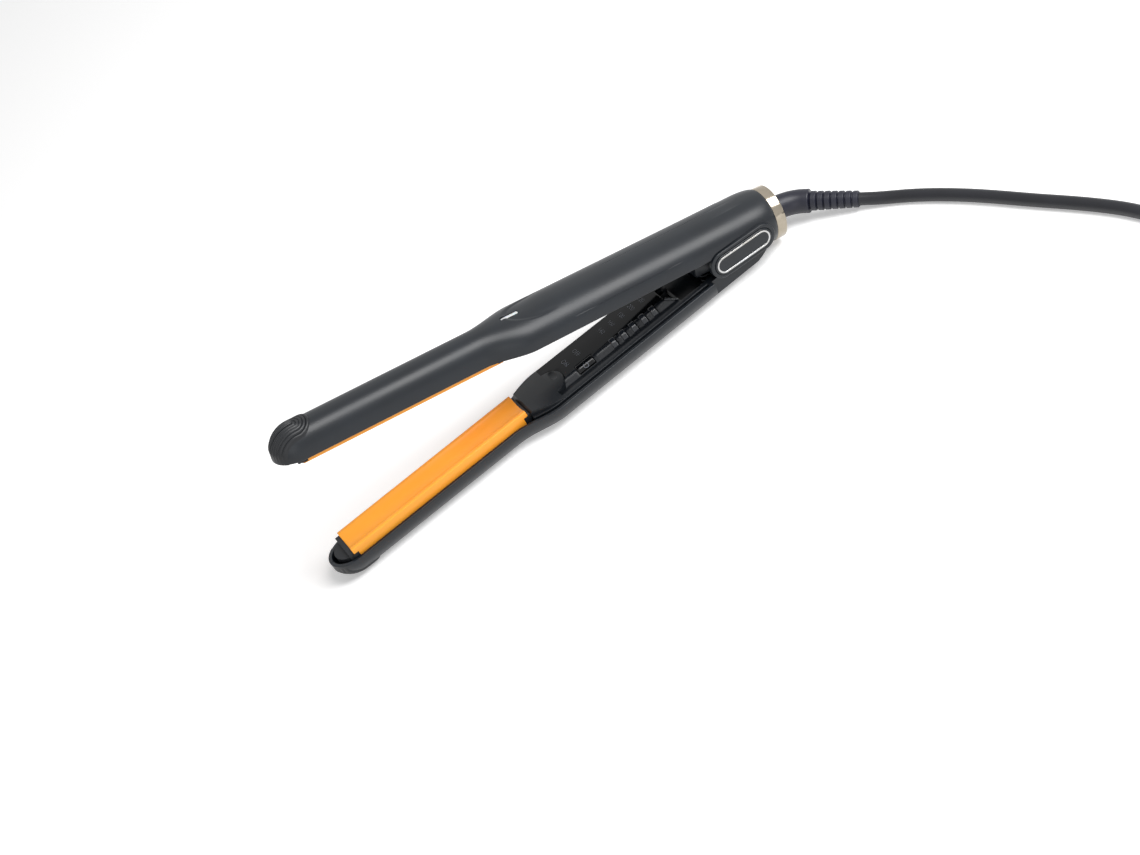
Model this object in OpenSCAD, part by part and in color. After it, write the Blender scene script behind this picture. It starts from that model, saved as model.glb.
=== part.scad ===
// Hair crimper: two hinged arms with a grooved and a crowned heating plate.
// X runs from the tips to the hinge, Y along the hinge pins, Z up. The lower arm lies flat,
// and the origin is on the flat of its underside. Millimetres and degrees.

/* [Arms] */
// Length of the handle from the heating plates to the hinge axis
handle_l = 126.3; // [120:0.1:150]
// Angle between the arms at rest
open_angle = 14; // [10:0.5:15]
// Width of both arms along the plates
barrel_w = 21; // [20.5:0.25:23]
// Width of both arms along the handle
handle_w = 33; // [32:0.5:36]
// Narrowing of the handle from its neck to the ring, on each side
handle_taper = 0.9; // [0:0.1:1.2]
// Depth of the lower arm along its plate
lower_barrel_d = 12; // [11:0.25:13]
// Depth of the lower arm along its handle
lower_handle_d = 13.3; // [12.5:0.1:14.5]
// Depth of the upper arm along its plate
upper_barrel_d = 13.5; // [12:0.25:15]
// Depth of the upper arm along its handle
upper_handle_d = 13.9; // [13:0.1:15.5]
// Length of the round nose of each arm
nose_l = 13; // [10:0.5:16]
// Distance that the neck starts before the end of the heating plates
neck_lead = 9.7; // [5:0.1:14]
// Length of the neck
neck_l = 25; // [18:1:32]
// Wall of the housings
wall = 1.8; // [1.4:0.1:2.2]
// Height taken off the lower arm to give the flat that it rests on
belly_cut = 0.4; // [0.3:0.05:0.6]

/* [Plates] */
// Start of the heating plates behind the tips
plate_x = 11.3; // [10.5:0.1:13]
// Length of the heating plates
plate_l = 103.4; // [90:0.2:105]
// Width of the heating plates
plate_w = 17; // [16:0.1:17.4]
// Height of the lower plate above its rim
lower_plate_h = 5.3; // [4.5:0.1:6]
// Height of the upper plate's side walls past its rim
upper_plate_h = 2.7; // [2.2:0.1:3.5]
// Width of the groove in the lower plate
groove_w = 13.6; // [12:0.1:14]
// Depth of the groove in the lower plate
groove_d = 2.4; // [1.8:0.1:2.8]
// Gap between the plates with the arms closed
plate_gap = 0.4; // [0.3:0.05:0.8]
// Thickness of the plates' metal
plate_t = 1.7; // [1.4:0.1:2]

/* [Hinge] */
// Radius of the hinge pins
pin_r = 2.5; // [2:0.1:3]
// Radial clearance of the pins in their bushes
pin_play = 0.05; // [0.02:0.01:0.1]
// Wall of the hinge bushes
bush_t = 1.1; // [0.8:0.1:1.4]
// Thickness of the lower arm's hinge ears
ear_t = 3.8; // [3:0.1:4.5]
// Side clearance between the parts of the hinge
hinge_play = 0.35; // [0.3:0.05:0.5]
// Radius of the lower arm's round end about the hinge axis
end_r = 19; // [18:0.25:19.5]
// Width of the hinge across its cheeks
cheek_w = 33.8; // [33.2:0.1:36.6]
// Length of the cheeks
cheek_l = 37; // [33:0.5:38]
// Height of the cheeks
cheek_h = 14; // [13:0.25:15]
// Tilt of the cheeks and caps on the upper arm
cheek_tilt = 9.3; // [4:0.1:10]
// Length of the hinge caps
cap_l = 32.6; // [29:0.2:33.4]
// Height of the hinge caps
cap_h = 10.6; // [10:0.1:11.2]
// Thickness of the hinge caps
cap_t = 1.4; // [1.2:0.1:1.6]
// Depth of the seats of the caps in the cheeks
cap_seat = 1; // [0.6:0.1:1.1]

/* [Handle end] */
// Distance from the hinge axis to the chrome ring
ring_x = 23.4; // [22:0.2:26]
// Width of the chrome ring
ring_l = 5.4; // [4:0.2:7]
// Outer radius of the chrome ring
ring_r = 13.6; // [13.4:0.1:14]
// Wall of the chrome ring
ring_t = 1.1; // [0.8:0.1:1.6]
// Depth of the ring's axis below the upper arm's rim
ring_drop = 0.6; // [0.4:0.1:1.2]

/* [Controls] */
// Height of the inner cover above the lower rim
cover_h = 3; // [2:0.1:3.4]
// Length of the inner cover
cover_l = 90.5; // [86:0.5:94]
// Distance of the inner cover's edge from the outside of the housing
cover_inset = 3.1; // [2.8:0.1:3.6]
// Thickness of the glossy control panel
panel_t = 0.8; // [0.6:0.1:1]
// Start of the control panel on the inner cover
panel_x = 20; // [18:0.5:24]
// Length of the power button
button_l = 9.8; // [8:0.1:11]
// Width of the power button
button_w = 9; // [8:0.1:9.6]
// Height of the button above the control panel
button_h = 0.9; // [0.7:0.05:1.2]
// Travel of the button
button_travel = 0.6; // [0.4:0.05:0.8]
// Number of heat level windows
windows_n = 5; // [4:1:5]
// Distance between the heat level windows
windows_pitch = 6.1; // [5.5:0.1:6.5]
// Length of the indicator lens in the upper arm
lens_l = 8.8; // [7:0.2:12]
// Width of the indicator lens
lens_w = 1.8; // [1.5:0.1:2.5]

/* [Cord] */
// Diameter of the cord
cord_d = 6.4; // [6:0.1:7]
// Diameter of the smooth part of the cord boot
boot_d = 11.3; // [10.5:0.1:12.5]
// Number of ribs on the cord boot
boot_ribs = 7; // [5:1:9]
// Distance between the ribs
boot_pitch = 3.4; // [3:0.1:4]

/* [Hidden] */
$fn = 48;

fullness = 2.3; // exponent of the upper housing's rounded sections
lower_fullness = 2.1;
section_n = 18; // steps round half a section
slit = 0.02; // makes a cut reach past a face
fit = 0.2; // loose fit between fixed pieces
half_barrel = barrel_w/2;
half_handle = handle_w/2;
rim_gap = lower_plate_h + upper_plate_h + plate_gap; // between the rims, arms closed
pivot_z = rim_gap/2;
floor_z = belly_cut - lower_handle_d;
plate_end = plate_x + plate_l;
neck_x = plate_end - neck_lead; // start of the neck between barrel and handle
neck_end = neck_x + neck_l;
pivot_x = plate_end + handle_l; // hinge axis
ring_front = pivot_x + ring_x;
rest_x = (neck_end + pivot_x)/2; // middle of the flat underside
cavity_end = pivot_x - 20;

// Hinge, from the middle outwards: knuckle, ears, cheeks
ear_in = 9.2;
ear_out = ear_in + ear_t;
ear_r = pin_r + bush_t + 3.6;
knuckle_y = ear_in - hinge_play;
knuckle_l = 30;
knuckle_end = 8; // past the hinge axis
knuckle_r = 7;
knuckle_drop = pivot_z + 1.5;
cheek_in = ear_out + hinge_play;
cheek_out = cheek_w/2;
cheek_dx = 1.3; // middle of the cheeks from the hinge axis
cheek_dz = 1.7;
hinge_top = ear_r + 1.5; // room above the hinge axis for the ears
seat_y = cheek_out - cap_seat; // seats of the hinge caps
seat_fit = 0.1; // added to a seat's length and width
cheek_gap = 0.9; // from the front of the cheeks to the lower arm
head_r = 4;
head_t = 1;
pin_in = 5; // inner ends of the pins from the middle
trim_w = 0.9;
trim_t = 0.2;

// Plates, from their rim
plate_base = -1.5;
tray_z = -5;
tray_t = 1.2;
tray_w = 14.4;
notch_l = 2.4; // notches for the trays' ears
notch_h = 2.2;
notch_t = 0.9;
groove_r = (groove_w*groove_w/4 + groove_d*groove_d)/(2*groove_d);
groove_z = lower_plate_h - groove_d + groove_r;
crown_r = groove_r - plate_gap;
channel_top = lower_plate_h - groove_d - plate_t; // top of the heaters
nose_block_r = 7.4;
nose_half = 10;
tray_end_half = 8;
tray_posts = [plate_x + 18, plate_end - 18];
tray_post_r = 2.4;
heater_t = 1.8;
heater_in = 10; // from the ends of the plates
heater_w = 10.8;
spring_in = 12;
spring_w = 8;
spring_t = 0.4;

// Inner cover and its controls, from the lower rim
cover_x = plate_end + 1.5;
cover_end = cover_x + cover_l;
cover_t = 1.4;
cover_step = cover_h - panel_t;
cover_skirt = -0.5;
cover_foot = -2;
notch_x = cover_end - 6; // bottom of the notch in the cover's rear end
panel_front = cover_x + panel_x - 3.7;
tongue_r = 8;
button_in = 35.6; // from the front of the cover
button_x = cover_x + button_in;
panel_half = half_handle - cover_inset;
button_margin = 1.9; // from the panel's near edge
button_y = button_margin + button_w/2 - panel_half;
button_play = 0.15;
button_flange = 0.8;
window_in = 52.7;
window_x = cover_x + window_in;
window_w = 3;
window_l = 12.2;
window_margin = 1.3; // from the panel's near edge
window_y = window_margin + window_l/2 - panel_half;
window_h = 0.7;
board_z = -6;
board_t = 1.6;
board_w = 16;
board_front = 14; // from the ends of the cover
board_rear = 8;
board_post_r = 2.8;
switch_h = 3.4;
switch_w = 6;
board_posts = [cover_x + 20, cover_end - 16];
foot_posts = [cover_x + 26, cover_end - 11];
foot_r = 1.2;
foot_base = 4.6; // from the bottom of the housing
foot_y = half_handle - 5.5;
inner_cover_z = 1.8; // inside of the upper arm's cover
inner_cover_t = 1.6;
screw_posts = [cover_x + 18, cavity_end - 14];
screw_r = 1.25;
screw_l = 8;
screw_head_r = 2.4;
lens_x = neck_end - 3.6;

// Rear end
ring_z = rim_gap - ring_drop;
ring_end = ring_front + ring_l;
block_r = ring_r - 0.2;
block_back = 5; // solid end of the upper arm, behind the hinge axis
block_round = 13; // start of its rounding
block_rise = 1.3;
rear_d = upper_handle_d - handle_taper/2;
bend_r = 18; // of the cord boot
bend = 45;
boot_neck = 3;
boot_r = boot_d/2 + 0.25; // collar before and after the bend
rib_r = 4.8;
rib_taper = 0.12;

// Route of the cord on the table, from the boot to the coil, in the part's own frame
cord_r = cord_d/2;
cord_route = [
    [118.1, -24.4, 5.2], [120.9, -27.2, 4.5], [124.2, -30.8, 3.8], [128.4, -35.6, 3.35],
    [133.6, -42.2, 3.2], [139.4, -50.8, 3.2], [145, -60.2, 3.2], [150.4, -70.2, 3.2],
    [155.4, -80.4, 3.2], [160.2, -90.8, 3.2], [165, -101.2, 3.2], [170, -111.6, 3.2],
    [174.8, -122, 3.2], [179.2, -132.4, 3.2], [182.8, -142.6, 3.2], [185.7, -154.4, 3.2]];
coil_x = 232;
coil_y = -177;
coil_r = 35.9; // middle of the turns
coil_turns_wide = 4;
coil_turns_high = 2;
coil_in = coil_r - coil_turns_wide*cord_d/2;
coil_out = coil_r + coil_turns_wide*cord_d/2;
coil_h = coil_turns_high*cord_d;
tie_w = 9;
tie_t = 0.8;
lead_route = [
    [194.6, -213.4, 4.8], [195.8, -217.4, 3.7], [197.6, -221.9, 3.2], [200.6, -226.6, 3.2],
    [204.5, -230.7, 3.5], [209.2, -234, 4.3], [214.6, -236.4, 5.4], [220.2, -237.8, 6.3],
    [224.2, -238.1, 6.5]];
plug_at = [224.4, -238.1, 6.5];
plug_l = 36;
plug_w = 26;
plug_h = 13;
plug_pin_l = 18.5;
plug_pin_y = 9.3;
plug_pin_r = 2;

function smooth(t) = t <= 0 ? 0 : t >= 1 ? 1 : t*t*(3 - 2*t);
function neck(a, b, x) = a + (b - a)*smooth((x - neck_x)/neck_l);
function round_over(t) = 1 - sqrt(1 - t*t);
function soft(c, n) = sign(c)*pow(abs(c), 2/n);
function arm_half(x) = neck(half_barrel, half_handle, x)
    - handle_taper*max(0, x - neck_end)/(ring_front - neck_end);
function cover_half(x) = arm_half(x) - cover_inset;
function unit(v) = v/norm(v);

// Half section at x below the rim: half width w, depth d, exponent n
function half_ring(x, w, d, n) =
    [for (i = [0:section_n]) let (a = 180*i/section_n) [x, -w*soft(cos(a), n), -d*soft(sin(a), n)]];
// The same with its ends raised past the rim, for a cavity
function open_ring(x, w, d, n) = concat([[x, -w, 2]], half_ring(x, w, d, n), [[x, w, 2]]);
// Whole section at x of the upper arm: top above its rim, bottom below it
function full_ring(x, w, top, bottom) = concat(
    [for (i = [0:section_n]) let (a = 180*i/section_n)
        [x, w*soft(cos(a), fullness), rim_gap + top*soft(sin(a), fullness)]],
    [for (i = [1:section_n - 1]) let (a = 180*i/section_n)
        [x, -w*soft(cos(a), fullness), rim_gap - bottom*soft(sin(a), fullness)]]);

// Start x0 and the places past it where a cover follows the neck
function neck_xs(x0, x1) = concat([x0],
    [for (k = [0.52:0.12:1]) let (x = neck_x + neck_l*k) if (x > x0 + 1 && x < x1) x]);

// Stations [x, half width, depth] of a nose and of a neck, t inside the surface
function nose_stations(d, t) = [for (a = [18:12:90])
    [t + (nose_l - t)*(1 - cos(a)), (half_barrel - t)*sin(a), (d - t)*sin(a)]];
function neck_stations(d1, d2, t) = [for (i = [0:5]) let (x = neck_x + neck_l*i/5)
    [x, arm_half(x) - t, neck(d1, d2, x) - t]];
function arm_stations(d1, d2, t) = concat(nose_stations(d1, t), neck_stations(d1, d2, t));

// Solid through equal rings
module loft(rings) {
    n = len(rings[0]);
    last = len(rings) - 1;
    polyhedron(
        points = [for (r = rings) each r],
        faces = concat(
            [[for (j = [0:n - 1]) j]],
            [for (i = [0:last - 1], j = [0:n - 1]) let (k = (j + 1)%n)
                [i*n + j, (i + 1)*n + j, (i + 1)*n + k, i*n + k]],
            [[for (j = [0:n - 1]) last*n + n - 1 - j]]),
        convexity = 6);
}

// Round tube of radius r through the points p
module tube(p, r, sides) {
    last = len(p) - 1;
    loft([for (i = [0:last])
        let (t = unit(p[min(i + 1, last)] - p[max(i - 1, 0)]),
             u = unit(cross([0, 0, 1], t)), v = cross(t, u))
        [for (j = [0:sides - 1]) let (a = -360*j/sides) p[i] + r*(cos(a)*u + sin(a)*v)]]);
}

module swing() { // turns the closed upper arm open
    translate([pivot_x, 0, pivot_z]) rotate([0, open_angle, 0])
        translate([-pivot_x, 0, -pivot_z]) children();
}
module lower(c) { color(c) translate([-rest_x, 0, -floor_z]) children(); }
module upper(c) { lower(c) swing() children(); }
module on_upper_rim() { translate([0, 0, rim_gap]) mirror([0, 0, 1]) children(); }
module pair() { children(); mirror([0, 1, 0]) children(); }
module across(r, y0, y1) { // cylinder about the hinge axis
    translate([pivot_x, y1, pivot_z]) rotate([90, 0, 0]) cylinder(r = r, h = y1 - y0);
}
module lozenge(l, h, y0, y1) { // round-ended plate on the side of the hinge
    translate([pivot_x + cheek_dx, y1, pivot_z + cheek_dz]) rotate([90, 0, 0])
        linear_extrude(y1 - y0) rotate(cheek_tilt) union() {
            square([l - h, h], center = true);
            for (s = [-1, 1]) translate([s*(l - h)/2, 0]) circle(d = h);
        }
}
module along(x0, x1) { translate([x0, 0, 0]) rotate([90, 0, 90]) linear_extrude(x1 - x0) children(); }
module box(x0, x1, half_y, z0, z1) { translate([x0, -half_y, z0]) cube([x1 - x0, 2*half_y, z1 - z0]); }
module post(x, y, r, top, bottom) { translate([x, y, bottom]) cylinder(r = r, h = top - bottom); }
module hole(x, y, r, z) { translate([x, y, z]) cylinder(r = r, h = 40, center = true); }

// ---- Housings ----
module lower_shell() {
    start = acos(min(1, (pivot_z + lower_handle_d)/end_r));
    rear = [for (k = [0, 0.2, 0.45, 0.7, 1])
        let (a = start + (68 - start)*k, x = pivot_x + end_r*sin(a))
        half_ring(x, arm_half(x), end_r*cos(a) - pivot_z, lower_fullness)];
    body = [for (s = arm_stations(lower_barrel_d, lower_handle_d, 0))
        half_ring(s[0], s[1], s[2], lower_fullness)];
    cavity = concat(
        [for (s = arm_stations(lower_barrel_d, lower_handle_d, wall))
            open_ring(s[0], s[1], s[2], lower_fullness)],
        [open_ring(cavity_end, arm_half(cavity_end) - wall, lower_handle_d - wall, lower_fullness)]);
    lower("#3b4047") difference() {
        union() {
            difference() {
                loft(concat(body, rear));
                loft(cavity);
                box(cavity_end - 1, pivot_x, ear_in, wall - lower_handle_d, 1);
                intersection() {
                    across(end_r - wall, -ear_in, ear_in);
                    box(pivot_x - end_r, pivot_x + end_r, end_r, wall - lower_handle_d, end_r);
                }
                pair() translate([pivot_x + cheek_dx - cheek_l/2 - cheek_gap, ear_out, -lower_handle_d - 1])
                    cube([cheek_l + end_r, half_handle, lower_handle_d + 2]);
            }
            pair() across(ear_r, ear_in, ear_out);
            for (x = tray_posts) post(x, 0, tray_post_r, tray_z, wall/2 - lower_barrel_d);
            for (x = board_posts) post(x, 0, board_post_r, board_z, wall/2 - lower_handle_d);
            for (x = foot_posts) pair()
                post(x, foot_y, foot_r, cover_foot, foot_base - lower_handle_d);
        }
        pair() across(pin_r + pin_play + bush_t, ear_in - 1, ear_out + 1);
        box(0, ring_end, handle_w, floor_z - 10, floor_z);
    }
}

module upper_shell() {
    x1 = pivot_x + block_back;
    x2 = pivot_x + block_round;
    block = [for (t = [0, 0.4, 0.7, 0.88, 1])
        let (m = round_over(t), x = x2 + (ring_front - x2)*t)
        full_ring(x, arm_half(x) + (block_r - arm_half(x))*m,
            rear_d + (block_r - ring_drop - rear_d)*m,
            block_r - block_rise + (block_rise + ring_drop)*m)];
    body = concat(
        [for (s = arm_stations(upper_barrel_d, upper_handle_d, 0)) half_ring(s[0], s[1], s[2], fullness)],
        [half_ring(x1 + 4, arm_half(x1 + 4), rear_d, fullness)]);
    cavity = concat(
        [for (s = arm_stations(upper_barrel_d, upper_handle_d, wall))
            open_ring(s[0], s[1], s[2], fullness)],
        [open_ring(cavity_end, arm_half(cavity_end) - wall, rear_d - wall, fullness)]);
    upper("#3b4047") difference() {
        union() {
            difference() {
                union() {
                    on_upper_rim() loft(body);
                    loft(concat([full_ring(x1, arm_half(x1), rear_d, block_r - 2*block_rise)], block));
                }
                on_upper_rim() loft(cavity);
                intersection() {
                    across(end_r + hinge_play, -cheek_in, cheek_in);
                    box(pivot_x - 2*end_r, pivot_x + 2*end_r, end_r,
                        pivot_z - 2*end_r, pivot_z + hinge_top);
                }
                box(cavity_end - 1, pivot_x, cheek_in, pivot_z - 2*end_r, pivot_z + hinge_top);
            }
            pair() lozenge(cheek_l, cheek_h, cheek_in, cheek_out);
            box(pivot_x + knuckle_end - knuckle_l, pivot_x + knuckle_end, knuckle_y, pivot_z - knuckle_drop,
                pivot_z + hinge_top + 1);
            across(knuckle_r, -knuckle_y, knuckle_y);
            on_upper_rim() {
                for (x = tray_posts) post(x, 0, tray_post_r, tray_z, wall/2 - upper_barrel_d);
                for (x = screw_posts) post(x, 0, board_post_r, -inner_cover_z, wall/2 - upper_handle_d);
            }
        }
        pair() {
            across(pin_r, pin_in, handle_w);
            across(head_r + seat_fit, seat_y - head_t - seat_fit/2, handle_w);
            lozenge(cap_l + seat_fit, cap_h + seat_fit, seat_y, handle_w);
        }
        on_upper_rim() for (x = screw_posts) post(x, 0, screw_r + 0.05, 0, -screw_l - 1);
        translate([lens_x, 0, rim_gap + upper_handle_d])
            cube([lens_l + seat_fit, lens_w + seat_fit, 8], center = true);
    }
}

// Raised pad on a nose: nested ribs in the shape of a U, on the ellipsoid of the nose
module tip_grip(d, n) {
    half_w = 8.2;
    turn_x = 13.8;
    ribs = 5;
    rows = 2*ribs;
    legs = 7;
    bends = 12;
    // height of the nose at x, y with its surface pushed out by h
    function nose_w(x, h) = x >= nose_l ? half_barrel + h
        : (half_barrel + h)*sqrt(max(0, 1 - pow((nose_l - x)/(nose_l + h), 2)));
    function nose_z(x, y, h) = let (k = nose_w(x, h), g = k/(half_barrel + h))
        -(d + h)*g*pow(max(0, 1 - pow(min(1, abs(y)/k), n)), 1/n);
    function start_x(y) = nose_l*(1 - sqrt(1 - pow(y/half_barrel, 2))) + 0.05;
    function u_point(r, j) = j <= legs ? [start_x(r) + (turn_x - start_x(r))*j/legs, -r]
        : j >= legs + bends ? [turn_x - (turn_x - start_x(r))*(j - legs - bends)/legs, r]
        : let (a = 180*(j - legs)/bends) [turn_x + r*sin(a), -r*cos(a)];
    count = 2*legs + bends;
    function row(i, h) = let (r = half_w*(0.06 + 0.94*i/rows))
        [for (j = [0:count]) let (p = u_point(r, j)) [p[0], p[1], nose_z(p[0], p[1], h)]];
    rings = concat([for (i = [0:rows]) row(i, i%2 == 0 ? 0.35 : 0.8)],
        [for (i = [rows:-1:0]) row(i, -0.3)]);
    w = count + 1;
    m = len(rings);
    polyhedron(
        points = [for (r = rings) each r],
        faces = concat(
            [for (i = [0:m - 1], j = [0:count - 1]) let (k = (i + 1)%m)
                [k*w + j, k*w + j + 1, i*w + j + 1, i*w + j]],
            [for (i = [0:rows - 1]) [(m - 1 - i)*w, (m - 2 - i)*w, (i + 1)*w, i*w]],
            [for (i = [0:rows - 1]) let (e = count)
                [i*w + e, (i + 1)*w + e, (m - 2 - i)*w + e, (m - 1 - i)*w + e]]),
        convexity = 8);
}
module lower_tip_grip() { lower("#2f343b") tip_grip(lower_barrel_d, lower_fullness); }
module upper_tip_grip() { upper("#2f343b") on_upper_rim() tip_grip(upper_barrel_d, fullness); }

// ---- Heating plates and what holds them ----
module plate_outline(h) {
    e = 0.4;
    w = plate_w/2;
    difference() {
        polygon([[-w, plate_base], [w, plate_base], [w, h - e], [w - e, h], [e - w, h], [-w, h - e]]);
        translate([plate_t - w, plate_base - 1])
            square([2*(w - plate_t), channel_top - plate_base + 1]);
    }
}
module plate_notches() {
    for (x = [plate_x - 1, plate_end - notch_l]) pair()
        translate([x, plate_w/2 - notch_t, plate_base - 1])
            cube([notch_l + 1, 2, notch_h - plate_base + 1]);
}
module lower_plate() {
    lower("#f79a2b") difference() {
        along(plate_x, plate_end) difference() {
            plate_outline(lower_plate_h);
            translate([0, groove_z]) circle(r = groove_r, $fn = 96);
        }
        plate_notches();
    }
}
module upper_plate() {
    upper("#f79a2b") on_upper_rim() difference() {
        along(plate_x, plate_end) union() {
            plate_outline(upper_plate_h);
            intersection() {
                translate([0, rim_gap - groove_z]) circle(r = crown_r, $fn = 96);
                translate([-10, channel_top]) square([20, 10]);
            }
        }
        plate_notches();
    }
}
// Tray under a plate; its ends rise past the rim in two steps
module plate_tray(step_1, step_2) {
    w = tray_w/2;
    box(plate_x, plate_end + 1.3, w, tray_z, tray_z + tray_t);
    pair() translate([plate_x, w - 1, tray_z]) cube([plate_l, 1, plate_base - tray_z]);
    intersection() {
        translate([plate_x, 0, tray_z]) cylinder(r = nose_block_r, h = step_1 - tray_z);
        box(0, plate_x, nose_half, tray_z, step_1);
    }
    box(plate_x - 2.3, plate_x, tray_end_half, -0.5, step_2);
    box(plate_end, plate_end + 1.3, tray_end_half, tray_z + tray_t, notch_h);
    for (x = [plate_x - 0.5, plate_end - notch_l]) pair()
        translate([x, plate_w/2 - notch_t, plate_base])
            cube([notch_l + 0.5, notch_t - 0.1, notch_h - plate_base]);
}
module lower_plate_tray() { lower("#24282e") plate_tray(1.3, 3.6); }
module upper_plate_tray() { upper("#24282e") on_upper_rim() plate_tray(0.9, 2.1); }
module heater() {
    box(plate_x + heater_in, plate_end - heater_in, heater_w/2, channel_top - heater_t, channel_top);
}
module lower_heater() { lower("#d8d2c4") heater(); }
module upper_heater() { upper("#d8d2c4") on_upper_rim() heater(); }
// Wave spring between the tray and the heater
module heater_spring() {
    base = tray_z + tray_t;
    rise = channel_top - heater_t - base - spring_t;
    steps = 48;
    x0 = plate_x + spring_in;
    l = plate_l - 2*spring_in;
    function wave(i) = base + rise*(1 - cos(360*4*i/steps))/2;
    translate([0, spring_w/2, 0]) rotate([90, 0, 0]) linear_extrude(spring_w) polygon(concat(
        [for (i = [0:steps]) [x0 + l*i/steps, wave(i)]],
        [for (i = [steps:-1:0]) [x0 + l*i/steps, wave(i) + spring_t]]));
}
module lower_heater_spring() { lower("#9aa0a6") heater_spring(); }
module upper_heater_spring() { upper("#9aa0a6") on_upper_rim() heater_spring(); }

// ---- Handle of the upper arm ----
module upper_inner_cover() {
    xs = concat(neck_xs(cover_x, cavity_end), [cavity_end - 2]);
    function half(x) = arm_half(x) - wall - 0.35;
    upper("#2b2f35") on_upper_rim() difference() {
        translate([0, 0, -inner_cover_z]) linear_extrude(inner_cover_t) polygon(concat(
            [for (x = xs) [x, -half(x)]], [for (i = [len(xs) - 1:-1:0]) [xs[i], half(xs[i])]]));
        for (x = screw_posts) hole(x, 0, screw_r + 0.25, 0);
    }
}
module upper_cover_screws() {
    upper("#7c8086") on_upper_rim() for (x = screw_posts) {
        post(x, 0, screw_r, 0, -screw_l);
        difference() {
            post(x, 0, screw_head_r, 0.7, inner_cover_t - inner_cover_z);
            box(x - 1.8, x + 1.8, 0.3, 0.3, 2);
        }
    }
}
module indicator_lens() {
    upper("#e8e2e0") translate([lens_x, 0, rim_gap + upper_handle_d - 0.8])
        cube([lens_l, lens_w, 2], center = true);
}
module end_ring() {
    e = 0.5;
    i = ring_r - ring_t;
    upper("#b9b2a6") translate([ring_front, 0, ring_z]) rotate([0, 90, 0]) rotate_extrude($fn = 96)
        polygon([[i, 0], [ring_r - e, 0], [ring_r, e],
            [ring_r, ring_l - e], [ring_r - e, ring_l], [i, ring_l]]);
}
module end_cap() {
    upper("#22262c") translate([ring_front + 1.4, 0, ring_z]) rotate([0, 90, 0]) difference() {
        cylinder(r = ring_r - ring_t, h = ring_l - 2);
        translate([0, 0, -1]) cylinder(r = boot_r + 0.02, h = ring_l + 2);
    }
}

// ---- Hinge ----
module hinge_pins() {
    upper("#a8acb0") pair() {
        across(pin_r, pin_in, seat_y);
        across(head_r, seat_y - head_t, seat_y);
    }
}
module hinge_bushes() {
    lower("#c0a868") pair() difference() {
        across(pin_r + pin_play + bush_t, ear_in, ear_out);
        across(pin_r + pin_play, ear_in - 1, ear_out + 1);
    }
}
module hinge_cap() {
    lozenge(cap_l, cap_h, seat_y, seat_y + cap_t - 0.3);
    lozenge(cap_l - 0.6, cap_h - 0.6, seat_y, seat_y + cap_t);
}
module hinge_cap_near() { upper("#33383f") mirror([0, 1, 0]) hinge_cap(); }
module hinge_cap_far() { upper("#33383f") hinge_cap(); }
module hinge_cap_trims() {
    upper("#d5d7da") pair() difference() {
        lozenge(cap_l - 1.8, cap_h - 1.8, seat_y + cap_t, seat_y + cap_t + trim_t);
        lozenge(cap_l - 1.8 - 2*trim_w, cap_h - 1.8 - 2*trim_w, seat_y, seat_y + cap_t + 1);
    }
}
module opening_spring() {
    wire = 0.45;
    base = wall - lower_handle_d + wire;
    l = 11.8;
    turns = 6;
    steps = 12*turns;
    lower("#b4b8bc") loft([for (i = [0:steps])
        let (a = 360*turns*i/steps, u = [cos(a), sin(a), 0], c = [pivot_x - 15, 0, base + l*i/steps] + 3*u)
        [for (j = [0:5]) let (b = -60*j) c + wire*(cos(b)*u + sin(b)*[0, 0, 1])]]);
}

// ---- Controls on the lower arm ----
module cover_plan(x0, x1, inset) {
    xs = concat(neck_xs(x0, x1), [notch_x, x1]);
    polygon(concat(
        [for (x = xs) [x, inset - cover_half(x)]], [[notch_x, -4.5], [notch_x, 4.5]],
        [for (i = [len(xs) - 1:-1:0]) [xs[i], cover_half(xs[i]) - inset]]));
}
module button_opening(c) {
    translate([button_x, button_y]) square([button_l + 2*c, button_w + 2*c], center = true);
}
module inner_cover() {
    lower("#2f343a") difference() {
        union() {
            translate([0, 0, cover_skirt]) linear_extrude(cover_step - cover_skirt)
                cover_plan(cover_x, cover_end, 0);
            translate([0, 0, cover_foot]) linear_extrude(cover_skirt - cover_foot)
                cover_plan(cover_x + 12, cover_end, 2*fit + wall - cover_inset);
            translate([0, 0, cover_step - slit]) linear_extrude(panel_t + slit) union() {
                intersection() {
                    cover_plan(cover_x, cover_end, 0);
                    translate([0, -20]) square([panel_front, 40]);
                }
                translate([panel_front, 0]) circle(r = tongue_r);
            }
        }
        translate([0, 0, cover_foot - 1]) linear_extrude(cover_step - cover_t - cover_foot + 1)
            cover_plan(cover_x + 1.4, cover_end - 1.4, 1.4);
        translate([0, 0, -5]) linear_extrude(20) button_opening(button_play);
        translate([cover_x, 0, cover_h]) rotate([0, 45, 0]) cube([1.8, 40, 1.8], center = true);
    }
}
module control_panel() {
    lower("#17191e") translate([0, 0, cover_step]) linear_extrude(panel_t) difference() {
        intersection() {
            cover_plan(cover_x, cover_end, 0.1);
            translate([panel_front + 0.05, -20]) square([200, 40]);
        }
        translate([panel_front, 0]) circle(r = tongue_r + 0.05);
        button_opening(button_play);
        for (i = [0:windows_n - 1]) translate([window_x + i*windows_pitch, window_y])
            square([window_w, window_l], center = true);
    }
}
module heat_windows() {
    r = (window_w*window_w/4 + window_h*window_h)/(2*window_h);
    lower("#8d939c") for (i = [0:windows_n - 1])
        translate([window_x + i*windows_pitch, window_y, cover_step]) intersection() {
            translate([0, 0, 2]) cube([window_w, window_l, 4], center = true);
            translate([0, window_l/2, panel_t + window_h - r]) rotate([90, 0, 0])
                cylinder(r = r, h = window_l, $fn = 64);
        }
}
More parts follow.
